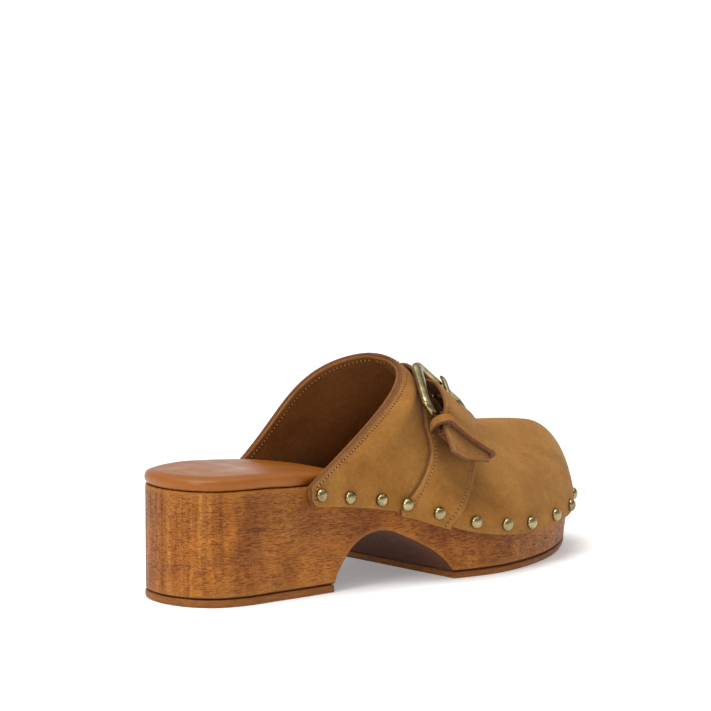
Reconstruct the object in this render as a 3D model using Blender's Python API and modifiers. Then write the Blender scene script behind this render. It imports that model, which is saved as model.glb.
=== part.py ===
"""Wooden clog: a right-foot mule with a wooden heeled sole, a nailed suede upper,
a padded footbed and a two-bar buckle that joins a lateral and a medial strap.

Lengths in the design section are millimetres, measured from the back of the heel
(y = 0) on the floor (z = 0), with +x towards the wearer's right (the lateral side).
"""
import math

import bmesh
import bpy
import numpy as np
from mathutils import Vector
from mathutils.bvhtree import BVHTree

# ---------------------------------------------------------------- driving dimensions
MM = 0.001
CENTRE_X = 3.6                  # middle of the finished width
CENTRE_Y = 125.15                # middle of the finished length
GAP = 0.3                       # clearance between touching pieces

SOLE_OUTLINE = (                # plan of the wood, anticlockwise from the back of the heel
    (0, 0), (14, 3), (24, 11), (29, 24), (30, 40), (31, 56), (31.5, 72), (32.5, 86),
    (35, 100), (39, 116), (43.5, 132), (47, 148), (48, 162), (46, 176), (42.5, 190),
    (38, 204), (33, 215.5), (26.5, 226), (18, 235.5), (7, 243), (-6, 247),
    (-17, 245.5), (-27, 239), (-34, 227), (-38.5, 212), (-40.5, 195), (-41, 178),
    (-40.3, 160), (-38, 142), (-34.5, 125), (-31, 108), (-29, 92), (-28.5, 76),
    (-29, 60), (-29.5, 42), (-28.5, 25), (-23.5, 11), (-14, 3))
WOOD_TOP = (                    # height of the wood's top edge along the length
    (-8, 50.8), (30, 50.7), (45, 49.9), (62, 48.8), (79, 46.8), (97, 44), (111, 40.5),
    (125, 35.5), (142, 30), (160, 27), (178, 25.5), (200, 26), (222, 27.5), (245, 29.3),
    (258, 30.5))
ARCH = (                        # underside of the waist, from the breast to the forefoot
    (73.5, 3.8), (74.5, 7), (77, 11), (81.5, 17), (86.5, 21.2), (92, 23.8), (98, 24.8),
    (104, 23.9), (110, 21.2), (117, 17.8), (124, 13.6), (130, 8.6), (134.5, 3.3))
HEEL_LIFT = 3.5                 # toplift under the heel
OUTSOLE = 3.0                   # outsole under the forefoot
TOE_SPRING = 4.5                # rise of the toe off the floor
TOE_SPRING_FROM = 192.0
TOE_TAPER = 3.0                 # how far the toe's lower edge tucks in
TOE_TAPER_FROM = 172.0

FOOTBED = 6.6                   # rim of the footbed at the heel
FOOTBED_TOE = 4.0               # thickness of the footbed at the toe
FOOTBED_INSET = 4.6             # step back of the footbed under the upper
COVER = 1.4                     # leather of the footbed

SUEDE = 1.4
LINING = 1.0
SKIRT = 8.6                     # how far the upper laps down the side of the wood
CORNER = 4.0                    # rounding of the upper's rear lower corners
SHOULDER = 3.2                  # fullness of the lateral side under the buckle
LATERAL_REAR = 57.0             # where the upper starts on each side
MEDIAL_REAR = 66.0
SPINE = (                       # ridge of the upper: x, y, z
    (-8, 130, 99.5), (-7.6, 142, 92.6), (-7.2, 155, 82), (-6.8, 168, 72.4),
    (-6.4, 180, 65.8), (-6, 192, 62.6), (-5.6, 204, 61.4), (-5.2, 216, 60.2))

SEAT = 0.75                     # between the wood's side and the lining
LAYER = 0.5                     # between the lining, the upper and each strap
STRAP = 1.6                     # thickness of both straps
STRAP_PAST_HEM = 1.6            # the straps end just below the upper's hem
# edges of the lateral strap: (turn about the shoe in degrees, cross plane offset)
LATERAL_REAR_EDGE = ((-30, 50.5), (20, 48.0), (36, 46.0), (46, 40.0), (58, 35.5), (95, 34.0))
LATERAL_FRONT_EDGE = ((-30, 73.5), (0, 73.0), (25, 75.5), (45, 73.5), (70, 66.0), (95, 66.0))
LATERAL_END = 69.0              # the lateral strap ends inside the buckle, in degrees
MEDIAL_PLANES = (45.0, 73.0)
HALF_STRAP = 14.0
# run of the medial strap through the buckle, as (t, n) of its underside
STRAP_THROUGH = ((19.5, -4.8), (15.5, -4.3), (11.0, -3.0), (6.5, 0.6), (2.0, 3.9),
                 (-4.0, 5.5), (-10.0, 5.9), (-15.5, 5.3))
# pointed end of the strap, (t, b, n) at its rear corner, apex and front corner
STRAP_POINT = ((-23.0, -12.0, 1.5), (-30.5, 4.0, -1.6), (-24.8, 20.0, 3.4))

FRAME_CENTRE = np.array((27.3, 144.8, 76.3))
FRAME_LEAN = math.radians(43.0)
FRAME_T = np.array((-math.cos(FRAME_LEAN), 0.6 * math.sin(FRAME_LEAN),
                    0.8 * math.sin(FRAME_LEAN)))
FRAME_B = np.array((0.0, 0.8, -0.6))
FRAME_N = np.array((math.sin(FRAME_LEAN), 0.6 * math.cos(FRAME_LEAN),
                    0.8 * math.cos(FRAME_LEAN)))
KEEPER = 1.5
# rear and front ends (t) of each line of the keeper, from its lower edge up
KEEPER_LINES = ((-24.4, -24.8), (-22.9, -23.2), (-21.4, -21.7), (-19.9, -20.2))
BAR_T = 15.5                    # from the middle of the frame to each bar
RAIL_B = 18.2                   # from the middle of the frame to each rail
BAR_RADIUS = 2.1
RAIL_WIDTH = 6.4
PRONG_RING = 3.6
PRONG_RADIUS = 1.2
PRONG_SIDES = 8
HALF_CHAPE = 9.5
CHAPE = 1.4
CHAPE_LENGTH = 8.6

LATERAL_STUDS = ((5, False), (22, False), (39, False), (52, True), (67.5, True),
                 (87, False), (104, False), (122.5, False), (146, False), (169, False),
                 (197, False))
MEDIAL_STUDS = ((5, False), (22, False), (40, True), (58, True), (76, False),
                (94, False), (112, False), (130, False), (148, False), (166, False),
                (183, False))
STUD_DROP = 4.4                 # below the wood's top edge
STUD_LENGTH = 5.0               # shank inside the wood
STUD_SIDES = 10
HOLE_SIDES = 8

STRAP_COLUMNS = 7
OUTLINE_POINTS = 116
FOOTBED_COLUMNS = 34            # mesh columns along each side of the footbed
UPPER_COLUMNS = 34              # mesh columns on each side of the upper
DOME_ROWS = 10


# ---------------------------------------------------------------- collections and meshes
def clear_scene():
    for item in list(bpy.data.objects):
        bpy.data.objects.remove(item)
    for item in list(bpy.data.collections):
        bpy.data.collections.remove(item)


def new_collection(name):
    made = bpy.data.collections.new(name)
    bpy.context.scene.collection.children.link(made)
    return made


def material(name, colour, roughness, metallic=0.0):
    made = bpy.data.materials.new(name)
    made.use_nodes = True
    shader = made.node_tree.nodes["Principled BSDF"]
    shader.inputs["Base Color"].default_value = (*colour, 1.0)
    shader.inputs["Roughness"].default_value = roughness
    shader.inputs["Metallic"].default_value = metallic
    made.diffuse_color = (*colour, 1.0)
    return made


def world(points):
    """Design millimetres to metres about the middle of the finished clog."""
    flat = np.asarray(points, dtype=float).reshape(-1, 3)
    return (flat - (CENTRE_X, CENTRE_Y, 0.0)) * MM


def build(name, points, faces, collection, look=None):
    """One object from points in design millimetres, with outward normals."""
    mesh = bpy.data.meshes.new(name)
    mesh.from_pydata([tuple(p) for p in world(points)], [], faces)
    work = bmesh.new()
    work.from_mesh(mesh)
    bmesh.ops.remove_doubles(work, verts=work.verts, dist=0.00001)
    bmesh.ops.recalc_face_normals(work, faces=work.faces)
    work.to_mesh(mesh)
    work.free()
    mesh.shade_smooth()
    mesh.set_sharp_from_angle(angle=math.radians(38))
    made = bpy.data.objects.new(name, mesh)
    collection.objects.link(made)
    if look:
        mesh.materials.append(look)
    return made


def cutter(name, points, faces):
    made = build(name, points, faces, CUTTERS)
    made.hide_render = True
    made.display_type = "WIRE"
    return made


def combine(target, tool, operation):
    """A live exact Boolean on target."""
    step = target.modifiers.new(operation.title(), "BOOLEAN")
    step.operation = operation
    step.solver = "EXACT"
    step.object = tool
    return step


def soften(target, width, segments, angle=40.0):
    step = target.modifiers.new("Bevel", "BEVEL")
    step.width = width * MM
    step.segments = segments
    step.limit_method = "ANGLE"
    step.angle_limit = math.radians(angle)
    step.harden_normals = False
    return step


# ---------------------------------------------------------------- curves
def smooth_step(value):
    held = np.clip(value, 0.0, 1.0)
    return held * held * (3.0 - 2.0 * held)


def closed_curve(points, count):
    """Evenly spaced points on a closed Catmull-Rom curve."""
    base = np.asarray(points, dtype=float)
    before, after, next_after = (np.roll(base, k, axis=0) for k in (1, -1, -2))
    fine = []
    for t in np.arange(0, 1, 0.05):
        fine.append(0.5 * (2 * base + (after - before) * t
                           + (2 * before - 5 * base + 4 * after - next_after) * t ** 2
                           + (3 * base - before - 3 * after + next_after) * t ** 3))
    dense = np.stack(fine, axis=1).reshape(-1, 2)
    return resample(np.vstack([dense, dense[:1]]), count + 1)[:-1]


def resample(points, count):
    """Evenly spaced points along an open polyline."""
    steps = np.linalg.norm(np.diff(points, axis=0), axis=1)
    run = np.concatenate([[0.0], np.cumsum(steps)])
    where = np.linspace(0.0, run[-1], count)
    return np.stack([np.interp(where, run, points[:, k])
                     for k in range(points.shape[1])], axis=1)


def open_curve(points, count):
    """Evenly spaced points on an open Catmull-Rom curve."""
    base = np.asarray(points, dtype=float)
    ends = np.vstack([2 * base[0] - base[1], base, 2 * base[-1] - base[-2]])
    fine = []
    for k in range(len(base) - 1):
        a, b, c, d = ends[k:k + 4]
        for t in np.arange(0, 1, 0.05):
            fine.append(0.5 * (2 * b + (c - a) * t + (2 * a - 5 * b + 4 * c - d) * t ** 2
                               + (3 * b - a - 3 * c + d) * t ** 3))
    return resample(np.vstack([fine, base[-1]]), count)


def normals_2d(points):
    """Outward normals of an anticlockwise closed outline."""
    along = np.roll(points, -1, axis=0) - np.roll(points, 1, axis=0)
    along /= np.linalg.norm(along, axis=1, keepdims=True)
    return np.stack([along[:, 1], -along[:, 0]], axis=1)


OUTLINE = closed_curve(SOLE_OUTLINE, OUTLINE_POINTS)
OUTLINE_NORMALS = normals_2d(OUTLINE)
TOP_CURVE = open_curve(WOOD_TOP, 90)
FINE_OUTLINE = closed_curve(SOLE_OUTLINE, 1200)
FINE_NORMALS = normals_2d(FINE_OUTLINE)


def wood_top(y):
    return np.interp(y, TOP_CURVE[:, 0], TOP_CURVE[:, 1])


def toe_rise(y):
    reach = 246.0 - TOE_SPRING_FROM
    return TOE_SPRING * (np.clip(np.asarray(y) - TOE_SPRING_FROM, 0, None) / reach) ** 2


# ---------------------------------------------------------------- prisms
def stack_rings(rings):
    """Faces of a closed solid through rings of equal length."""
    count = len(rings[0])
    faces = [tuple(reversed(range(count)))]
    for level in range(len(rings) - 1):
        low = level * count
        for k in range(count):
            after = (k + 1) % count
            faces.append((low + k, low + after, low + count + after, low + count + k))
    faces.append(tuple(range((len(rings) - 1) * count, len(rings) * count)))
    return np.vstack(rings), faces


def plan_ring(z, grow):
    """The sole outline at one height, grown outward and tucked in at the toe."""
    taper = TOE_TAPER * smooth_step((OUTLINE[:, 1] - TOE_TAPER_FROM) / 62.0)
    taper = taper * np.clip((26.0 - z) / 26.0, 0.0, 1.3)
    flat = OUTLINE + OUTLINE_NORMALS * (grow - taper)[:, None]
    return np.column_stack([flat, np.full(len(flat), z)])


def plan_prism(low, high, grow=0.0):
    levels = [low] + [z for z in (26.0,) if low < z < high] + [high]
    return stack_rings([plan_ring(z, np.full(len(OUTLINE), grow)) for z in levels])


def side_prism(profile, half_width=70.0):
    """A side view profile (y, z) extruded across the whole width."""
    flat = np.asarray(profile, dtype=float)
    rings = [np.column_stack([np.full(len(flat), x), flat]) for x in (-half_width, half_width)]
    return stack_rings(rings)


def under_curve(first, last, lift):
    """Underside of the forefoot from first to last, raised by lift."""
    ys = np.linspace(first, last, 18)
    return [(y, lift + float(toe_rise(y))) for y in ys]


# ---------------------------------------------------------------- sole pieces
def wood_profile():
    top = [(y, float(wood_top(y))) for y in np.linspace(256, 28, 46)]
    heel = [(-6.0, 50.8), (-6.0, HEEL_LIFT + GAP)]
    arch = [tuple(p) for p in open_curve(ARCH, 24)]
    return top + heel + arch + under_curve(142.0, 256.0, OUTSOLE + GAP)


def make_wood_sole():
    made = build("wood_sole", *plan_prism(-2.0, 58.0), MAIN, LOOKS["wood"])
    combine(made, cutter("cut_wood_profile", *side_prism(wood_profile())), "INTERSECT")
    soften(made, 0.8, 2)
    return made


def make_heel_toplift():
    made = build("heel_toplift", *plan_prism(0.0, HEEL_LIFT), MAIN, LOOKS["outsole"])
    profile = [(-6, -1), (73.2, -1), (73.2, 5), (-6, 5)]
    combine(made, cutter("cut_toplift", *side_prism(profile)), "INTERSECT")
    return made


def make_forefoot_outsole():
    made = build("forefoot_outsole", *plan_prism(-1.0, 12.0), MAIN, LOOKS["outsole"])
    low = under_curve(134.8, 256.0, 0.0)
    high = under_curve(134.8, 256.0, OUTSOLE)
    combine(made, cutter("cut_outsole", *side_prism(low + high[::-1])), "INTERSECT")
    return made


# ---------------------------------------------------------------- footbed
def paired_outline(grow):
    """The footbed's outline as matched lateral and medial points, heel to toe."""
    tip = int(np.argmax(FINE_OUTLINE[:, 1]))
    y = FINE_OUTLINE[:, 1]
    step = 1.9 * smooth_step((y - 48.0) / 12.0)
    step = step + (FOOTBED_INSET - 1.9) * smooth_step((y - 60.0) / 35.0)
    flat = FINE_OUTLINE + FINE_NORMALS * (grow - step)[:, None]
    lateral = resample(flat[:tip + 1], FOOTBED_COLUMNS)
    medial = resample(np.vstack([flat[tip:], flat[:1]])[::-1], FOOTBED_COLUMNS)
    return np.vstack([lateral, medial[1:-1][::-1]])


def footbed_ring(grow, height):
    """One ring of the footbed at a share of its local thickness."""
    flat = paired_outline(grow)
    thin = FOOTBED - (FOOTBED - FOOTBED_TOE) * smooth_step((flat[:, 1] - 60.0) / 90.0)
    z = wood_top(flat[:, 1]) + GAP + (thin - GAP) * height
    return np.column_stack([flat, z])


def cap_faces(start, flip):
    """Strips across a ring that joins each lateral point to its medial match."""
    count = 2 * FOOTBED_COLUMNS - 2
    faces = []
    for k in range(FOOTBED_COLUMNS - 1):
        a, b = k, k + 1
        c, d = (count - k - 1) % count, (count - k) % count
        face = [start + i for i in (a, b, c, d)]
        face = list(dict.fromkeys(face))
        faces.append(tuple(reversed(face)) if flip else tuple(face))
    return faces


def ring_solid(rings):
    """Closed solid through footbed rings, capped at the first and last."""
    count = len(rings[0])
    faces = cap_faces(0, True)
    for level in range(len(rings) - 1):
        low = level * count
        for k in range(count):
            after = (k + 1) % count
            faces.append((low + k, low + after, low + count + after, low + count + k))
    faces += cap_faces((len(rings) - 1) * count, False)
    return np.vstack(rings), faces


def make_footbed():
    """A rolled leather cover, open underneath, over a foam core."""
    rim = ((-0.3, 0.0), (0.35, 0.2), (0.4, 0.45), (0.0, 0.7), (-1.1, 0.9), (-2.8, 0.985),
           (-6.0, 1.0))
    rings = [footbed_ring(grow, height) for grow, height in rim]
    inside = [footbed_ring(grow, height) for grow, height in
              ((-6.0, 0.78), (-3.2, 0.76), (-COVER, 0.55), (-COVER, 0.0))]
    shape, faces = ring_solid(rings + inside)
    count = len(rings[0])
    total = len(rings) + len(inside)
    top, under = (len(rings) - 1) * count, len(rings) * count
    walls = faces[FOOTBED_COLUMNS - 1:len(faces) - FOOTBED_COLUMNS + 1]
    walls = [f for f in walls if not (top <= min(f) < top + count and max(f) >= under)]
    walls += cap_faces(top, False) + cap_faces(under, True)
    last = (total - 1) * count
    walls += [(k, last + k, last + (k + 1) % count, (k + 1) % count) for k in range(count)]
    cover = build("footbed_cover", shape, walls, MAIN, LOOKS["leather"])
    core = [footbed_ring(grow, height) for grow, height in
            ((-COVER - GAP, 0.0), (-COVER - GAP, 0.5), (-3.4, 0.7), (-6.2, 0.72))]
    foam = build("footbed_foam", *ring_solid(core), MAIN, LOOKS["foam"])
    return cover, foam


# ---------------------------------------------------------------- upper surface
def side_run(side):
    """Outline from the upper's rear corner to the toe on one side (+1 lateral)."""
    tip = int(np.argmax(FINE_OUTLINE[:, 1]))
    start = LATERAL_REAR if side > 0 else MEDIAL_REAR
    if side > 0:
        index = np.arange(0, tip + 1)
    else:
        index = np.arange(len(FINE_OUTLINE) - 1, tip - 1, -1)
    flat = FINE_OUTLINE[index]
    keep = index[(flat[:, 1] >= start)]
    return FINE_OUTLINE[keep], FINE_NORMALS[keep]


def spine_point(share):
    """Point of the ridge matched to a share of the run from the rear corner."""
    ridge = open_curve(SPINE, 80)
    return ridge[0] if share <= 0 else along(ridge, 1.0 - (1.0 - share) ** 1.26)


def along(points, share):
    steps = np.linalg.norm(np.diff(points, axis=0), axis=1)
    run = np.concatenate([[0.0], np.cumsum(steps)]) / steps.sum()
    return np.array([np.interp(share, run, points[:, k]) for k in range(points.shape[1])])


def fullness(share):
    """Exponent of the section: rounder at the collar, bulging at the toe."""
    pinch = float(smooth_step((share - 0.04) / 0.3))
    bulge = float(smooth_step((share - 0.34) / 0.42))
    return 1.0 + 0.38 * pinch - 0.56 * bulge


def from_outline(point):
    """Distance from a plan point to the wood's outline."""
    step = np.roll(OUTLINE, -1, axis=0) - OUTLINE
    share = ((point - OUTLINE) * step).sum(axis=1) / (step * step).sum(axis=1)
    near = OUTLINE + step * np.clip(share, 0.0, 1.0)[:, None]
    return float(np.min(np.linalg.norm(point - near, axis=1)))


def upper_column(side, share, grow):
    """Points up one column of the upper's outer face, from hem to ridge."""
    flat, normal = side_run(side)
    foot = along(flat, share) + along(normal, share) * grow
    inward = -along(normal, share)
    inward /= np.linalg.norm(inward)
    foot = foot - inward * (grow - from_outline(foot))
    top = spine_point(share)
    base_z = float(wood_top(foot[1])) + 0.6
    reach = top[:2] - foot
    deep = reach @ inward
    slide = reach - deep * inward
    power = fullness(share)
    lead = (0.18 if side > 0 else -0.28) * (1.0 - share)
    swell = SHOULDER * float(smooth_step(share / 0.12) - smooth_step((share - 0.2) / 0.22))
    swell = swell if side > 0 else 0.0
    points = []
    for tau in np.linspace(0.0, math.pi / 2, DOME_ROWS + 1):
        across = 1.0 - math.cos(tau) ** power
        up = math.sin(tau) ** power
        sweep = up * (1.0 + lead * math.sin(2.0 * tau))
        bump = swell * 3.08 * math.sin(tau) * math.cos(tau) ** 3
        flat_point = foot + inward * (deep * across - bump) + slide * sweep
        points.append((*flat_point, base_z + (top[2] - base_z) * up + 0.6 * bump))
    return foot, base_z, points


def hem_height(side, share, base_z):
    """Lower edge of the upper, rounded up at the rear corner."""
    flat, _ = side_run(side)
    run = np.linalg.norm(np.diff(flat, axis=0), axis=1).sum() * share
    lift = 0.0
    if run < CORNER:
        lift = CORNER - math.sqrt(CORNER ** 2 - (CORNER - run) ** 2)
    return base_z - SKIRT - 0.6 + lift


def upper_grid(grow, columns=UPPER_COLUMNS):
    """Columns of points round the toe from the lateral to the medial rear corner."""
    shares = np.concatenate([[0.0, 0.012], np.linspace(0.03, 1.0, columns - 1)])
    sides = [(1, s) for s in shares] + [(-1, s) for s in shares[::-1][1:]]
    grid = []
    for side, share in sides:
        foot, base_z, dome = upper_column(side, share, grow)
        hem = hem_height(side, share, base_z)
        skirt = [(*foot, z) for z in (hem, 0.5 * (hem + base_z))]
        grid.append(skirt + dome)
    return np.array(grid)


def grid_faces(shape):
    """Quads of a grid of columns by rows."""
    columns, rows = shape[:2]
    faces = []
    for c in range(columns - 1):
        for r in range(rows - 1):
            a = c * rows + r
            faces.append((a, a + 1, a + rows + 1, a + rows))
    return faces


def grid_normals(grid):
    """Outward unit normals of the upper's grid, shared where the two sides meet."""
    across = np.gradient(grid, axis=0)
    up = np.gradient(grid, axis=1)
    normal = np.cross(across, up)
    normal /= np.maximum(np.linalg.norm(normal, axis=2, keepdims=True), 1e-9)
    ridge = normal[:, -1] + normal[::-1, -1]
    normal[:, -1] = ridge / np.linalg.norm(ridge, axis=1, keepdims=True)
    outward = 1.0 if normal[3, 2, 0] > 0 else -1.0
    return normal * outward


def shell(name, outer, inner, look):
    """A closed sheet between two grids whose last rows meet along the ridge."""
    columns, rows = outer.shape[:2]
    count = columns * rows
    quads = grid_faces(outer.shape)
    faces = quads + [tuple(i + count for i in reversed(q)) for q in quads]
    rim = [c * rows for c in range(columns)]
    rim += [(columns - 1) * rows + r for r in range(1, rows)]
    rim += list(range(rows - 2, 0, -1))
    for k, a in enumerate(rim):
        b = rim[(k + 1) % len(rim)]
        faces.append((b, a, a + count, b + count))
    points = np.vstack([outer.reshape(-1, 3), inner.reshape(-1, 3)])
    return build(name, points, faces, MAIN, look)


# ---------------------------------------------------------------- upper pieces
def make_upper():
    grow = SEAT + LINING + LAYER + SUEDE
    outer = upper_grid(grow)
    normal = grid_normals(outer)
    vamp = shell("vamp_upper", outer, outer - normal * SUEDE, LOOKS["suede"])
    lining_out = outer - normal * (SUEDE + LAYER + 0.1)
    lining_in = outer - normal * (SUEDE + LAYER + LINING)
    lining = shell("vamp_lining", lining_out, lining_in, LOOKS["lining"])
    return vamp, lining, outer


# ---------------------------------------------------------------- straps on the upper
class Surface:
    """The upper's outer face, searched by rays from a line inside the shoe."""

    def __init__(self, grid):
        points = [Vector(p) for p in grid.reshape(-1, 3)]
        self.tree = BVHTree.FromPolygons(points, grid_faces(grid.shape))

    def hit(self, plane, degrees):
        """Point where a ray in an inclined cross plane meets the upper."""
        turn = math.radians(degrees)
        start = Vector((-4.0, 40.0 + plane * math.sqrt(2.0), 40.0))
        lean = math.sin(turn) * math.sqrt(0.5)
        found = self.tree.ray_cast(start, Vector((math.cos(turn), lean, lean)))
        return None if found[0] is None else np.array(found[0])

    def foot(self, point):
        """Nearest seat on the outside of the lateral strap."""
        near, facing, _, _ = self.tree.find_nearest(Vector(point))
        facing = np.array(facing)
        if facing @ (np.array(point) - np.array(near)) < 0.0:
            facing = -facing
        return np.array(near) + facing * (LAYER + STRAP + KEEPER + 0.7)

    def hem(self, plane, side):
        """Lowest point of the upper in a cross plane on one side."""
        inside, outside = (0.0, -60.0) if side > 0 else (180.0, 240.0)
        for _ in range(30):
            middle = 0.5 * (inside + outside)
            if self.hit(plane, middle) is None:
                outside = middle
            else:
                inside = middle
        return inside


def sheet_normals(grid):
    """Unit normals of an open grid, pointing away from the inside of the shoe."""
    normal = np.cross(np.gradient(grid, axis=0), np.gradient(grid, axis=1))
    normal /= np.maximum(np.linalg.norm(normal, axis=2, keepdims=True), 1e-9)
    middle = grid[grid.shape[0] // 2, grid.shape[1] // 2]
    facing = normal[grid.shape[0] // 2, grid.shape[1] // 2] @ (middle - (-4, middle[1], 40))
    return normal if facing > 0 else -normal


def slab(name, lower, upper, look):
    """A closed ribbon between two open grids."""
    columns, rows = lower.shape[:2]
    count = columns * rows
    quads = grid_faces(lower.shape)
    faces = quads + [tuple(i + count for i in reversed(q)) for q in quads]
    rim = [c * rows for c in range(columns)]
    rim += [(columns - 1) * rows + r for r in range(1, rows)]
    rim += [c * rows + rows - 1 for c in range(columns - 2, -1, -1)]
    rim += list(range(rows - 2, 0, -1))
    for k, a in enumerate(rim):
        b = rim[(k + 1) % len(rim)]
        faces.append((b, a, a + count, b + count))
    points = np.vstack([lower.reshape(-1, 3), upper.reshape(-1, 3)])
    return build(name, points, faces, MAIN, look)


def blend(a, b, share):
    return a + (b - a) * share


def strap_foot(surface, plane, side):
    """The two lowest points of a strap: its cut end just past the hem, then the hem."""
    low = surface.hit(plane, surface.hem(plane, side))
    return [low - np.array((0.0, 0.0, STRAP_PAST_HEM)), low]


def edge_plane(edge, degrees):
    """Cross plane of a strap's edge at a turn about the shoe, softly blended."""
    spread = np.linspace(-6.0, 6.0, 5)
    return float(np.mean(np.interp(degrees + spread, *np.array(edge, float).T)))


def lateral_base(surface):
    """Path of the lateral strap over the upper, before it is lifted off it."""
    grid = []
    for share in np.linspace(0.0, 1.0, STRAP_COLUMNS):
        foot = blend(LATERAL_REAR_EDGE[0][1], LATERAL_FRONT_EDGE[0][1], share)
        column = strap_foot(surface, foot, 1)
        start = surface.hem(foot, 1) + 4.0
        for degrees in np.linspace(start, LATERAL_END, 20):
            rear = edge_plane(LATERAL_REAR_EDGE, degrees)
            front = edge_plane(LATERAL_FRONT_EDGE, degrees)
            column.append(surface.hit(blend(rear, front, share), degrees))
        grid.append(column)
    return np.array(grid)


def make_lateral_strap(surface):
    base = lateral_base(surface)
    normal = sheet_normals(base)
    return slab("lateral_strap", base + normal * 0.7, base + normal * (0.7 + STRAP),
                LOOKS["suede"])


# ---------------------------------------------------------------- buckle frame axes
def on_frame(along_t, across_b, out_n, sag=0.0):
    """Point in the buckle's own axes: t up the strap, b along the bar, n outward."""
    return (FRAME_CENTRE + FRAME_T * along_t + FRAME_B * across_b
            + FRAME_N * (out_n + sag))


def curve_columns(keys_of_column, rows):
    """A grid of smooth columns through key points given per column share."""
    columns = [open_curve(np.array(keys_of_column(share)), rows)
               for share in np.linspace(0.0, 1.0, STRAP_COLUMNS)]
    return np.array(columns)


def lifted(surface, rear, front, share, lift):
    """Point over the upper between a rear and a front (plane, angle) pair."""
    plane = blend(rear[0], front[0], share)
    degrees = blend(rear[1], front[1], share)
    point = surface.hit(plane, degrees)
    side = surface.hit(plane + 2.0, degrees) - surface.hit(plane - 2.0, degrees)
    rise = surface.hit(plane, degrees + 3.0) - surface.hit(plane, degrees - 3.0)
    normal = np.cross(side, rise)
    return point + normal / np.linalg.norm(normal) * lift


def medial_keys(surface, share):
    """Key points of the medial strap: up the medial side, through the buckle, down."""
    foot_plane = blend(*MEDIAL_PLANES, share)
    keys = strap_foot(surface, foot_plane, -1)
    keys = [keys[0] - (LAYER, 0, 0), keys[1] - (LAYER, 0, 0)]
    start = surface.hem(foot_plane, -1) - 6.0
    for degrees in np.linspace(start, 90.0, 12):
        drift = smooth_step((start - degrees) / (start - 90.0))
        plane = foot_plane - blend(7.5, 9.0, share) * drift
        seat = (plane, degrees)
        ridge = 1.4 * smooth_step((134.0 - degrees) / 16.0)
        keys.append(lifted(surface, seat, seat, 0.5, LAYER + 0.25 + ridge))
    width = blend(-HALF_STRAP, HALF_STRAP, share)
    keys += [on_frame(t, width, n) for t, n in STRAP_THROUGH]
    rear, apex, front = STRAP_POINT
    ends = (rear, apex) if share < 0.5 else (apex, front)
    end = blend(np.array(ends[0]), np.array(ends[1]), (share * 2.0) % 1.0 if share < 1 else 1)
    last = np.array((STRAP_THROUGH[-1][0], width, STRAP_THROUGH[-1][1]))
    keys.append(on_frame(*blend(last, end, 0.5), sag=1.0))
    keys.append(on_frame(*end))
    return keys


def make_medial_strap(surface):
    base = curve_columns(lambda share: medial_keys(surface, share), 64)
    normal = sheet_normals(base)
    made = slab("medial_strap", base, base + normal * STRAP, LOOKS["suede"])
    return made, base, normal


# ---------------------------------------------------------------- buckle
def make_frame():
    """Chunky rounded rectangle, thick on the rails and round on the pivot bar."""
    corner = 5.5
    path = []
    for quarter in range(4):
        sign_t, sign_b = ((1, 1), (-1, 1), (-1, -1), (1, -1))[quarter]
        centre = np.array((sign_t * (BAR_T - corner), sign_b * (RAIL_B - corner)))
        for k in range(6):
            turn = math.radians(90.0 * quarter + 18.0 * k)
            path.append(centre + corner * np.array((math.cos(turn), math.sin(turn))))
    path = np.array(path)
    after, before = np.roll(path, -1, axis=0), np.roll(path, 1, axis=0)
    along_path = (after - before) / np.linalg.norm(after - before, axis=1, keepdims=True)
    outward = np.stack([along_path[:, 1], -along_path[:, 0]], axis=1)
    rings = []
    for point, out in zip(path, outward):
        rail = min(1.0, abs(out[1]) * 1.2)
        wide = blend(BAR_RADIUS, RAIL_WIDTH / 2, rail)
        ring = []
        for turn in np.linspace(0, 2 * math.pi, 13)[:-1]:
            spread = point + out * wide * math.cos(turn)
            ring.append(on_frame(spread[0], spread[1], BAR_RADIUS * math.sin(turn)))
        rings.append(ring)
    rings = np.array(rings)
    return build("buckle_frame", rings.reshape(-1, 3), loop_faces(rings.shape), MAIN,
                 LOOKS["brass"])


def loop_faces(shape):
    """Faces of a tube that closes on itself in both directions."""
    loops, around = shape[:2]
    faces = []
    for k in range(loops):
        for j in range(around):
            a, b = k * around + j, k * around + (j + 1) % around
            c, d = (((k + 1) % loops) * around + (j + 1) % around,
                    ((k + 1) % loops) * around + j)
            faces.append((a, b, c, d))
    return faces


def make_prong():
    """A tapered pin resting on the far bar, curled into an eye round the pivot bar."""
    path = [(19.6, 2.4, 0.6), (17.4, 3.1, 0.9), (14.0, 3.5, 1.05), (4.0, PRONG_RING, 1.15),
            (-8.0, PRONG_RING, PRONG_RADIUS)]
    for degrees in np.arange(90.0, 356.0, 22.0):
        turn = math.radians(degrees)
        path.append((-BAR_T + PRONG_RING * math.cos(turn), PRONG_RING * math.sin(turn),
                     PRONG_RADIUS))
    centre = np.array([p[:2] for p in path])
    along_path = np.gradient(centre, axis=0)
    along_path /= np.linalg.norm(along_path, axis=1, keepdims=True)
    points = []
    for (t, n, radius), (turn_t, turn_n) in zip(path, along_path):
        for roll in np.linspace(0, 2 * math.pi, PRONG_SIDES + 1)[:-1]:
            reach = radius * math.cos(roll)
            points.append(on_frame(t - turn_n * reach, radius * math.sin(roll),
                                   n + turn_t * reach))
    return build("buckle_prong", points, lathe_faces(len(path), PRONG_SIDES), MAIN,
                 LOOKS["brass"])


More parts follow.
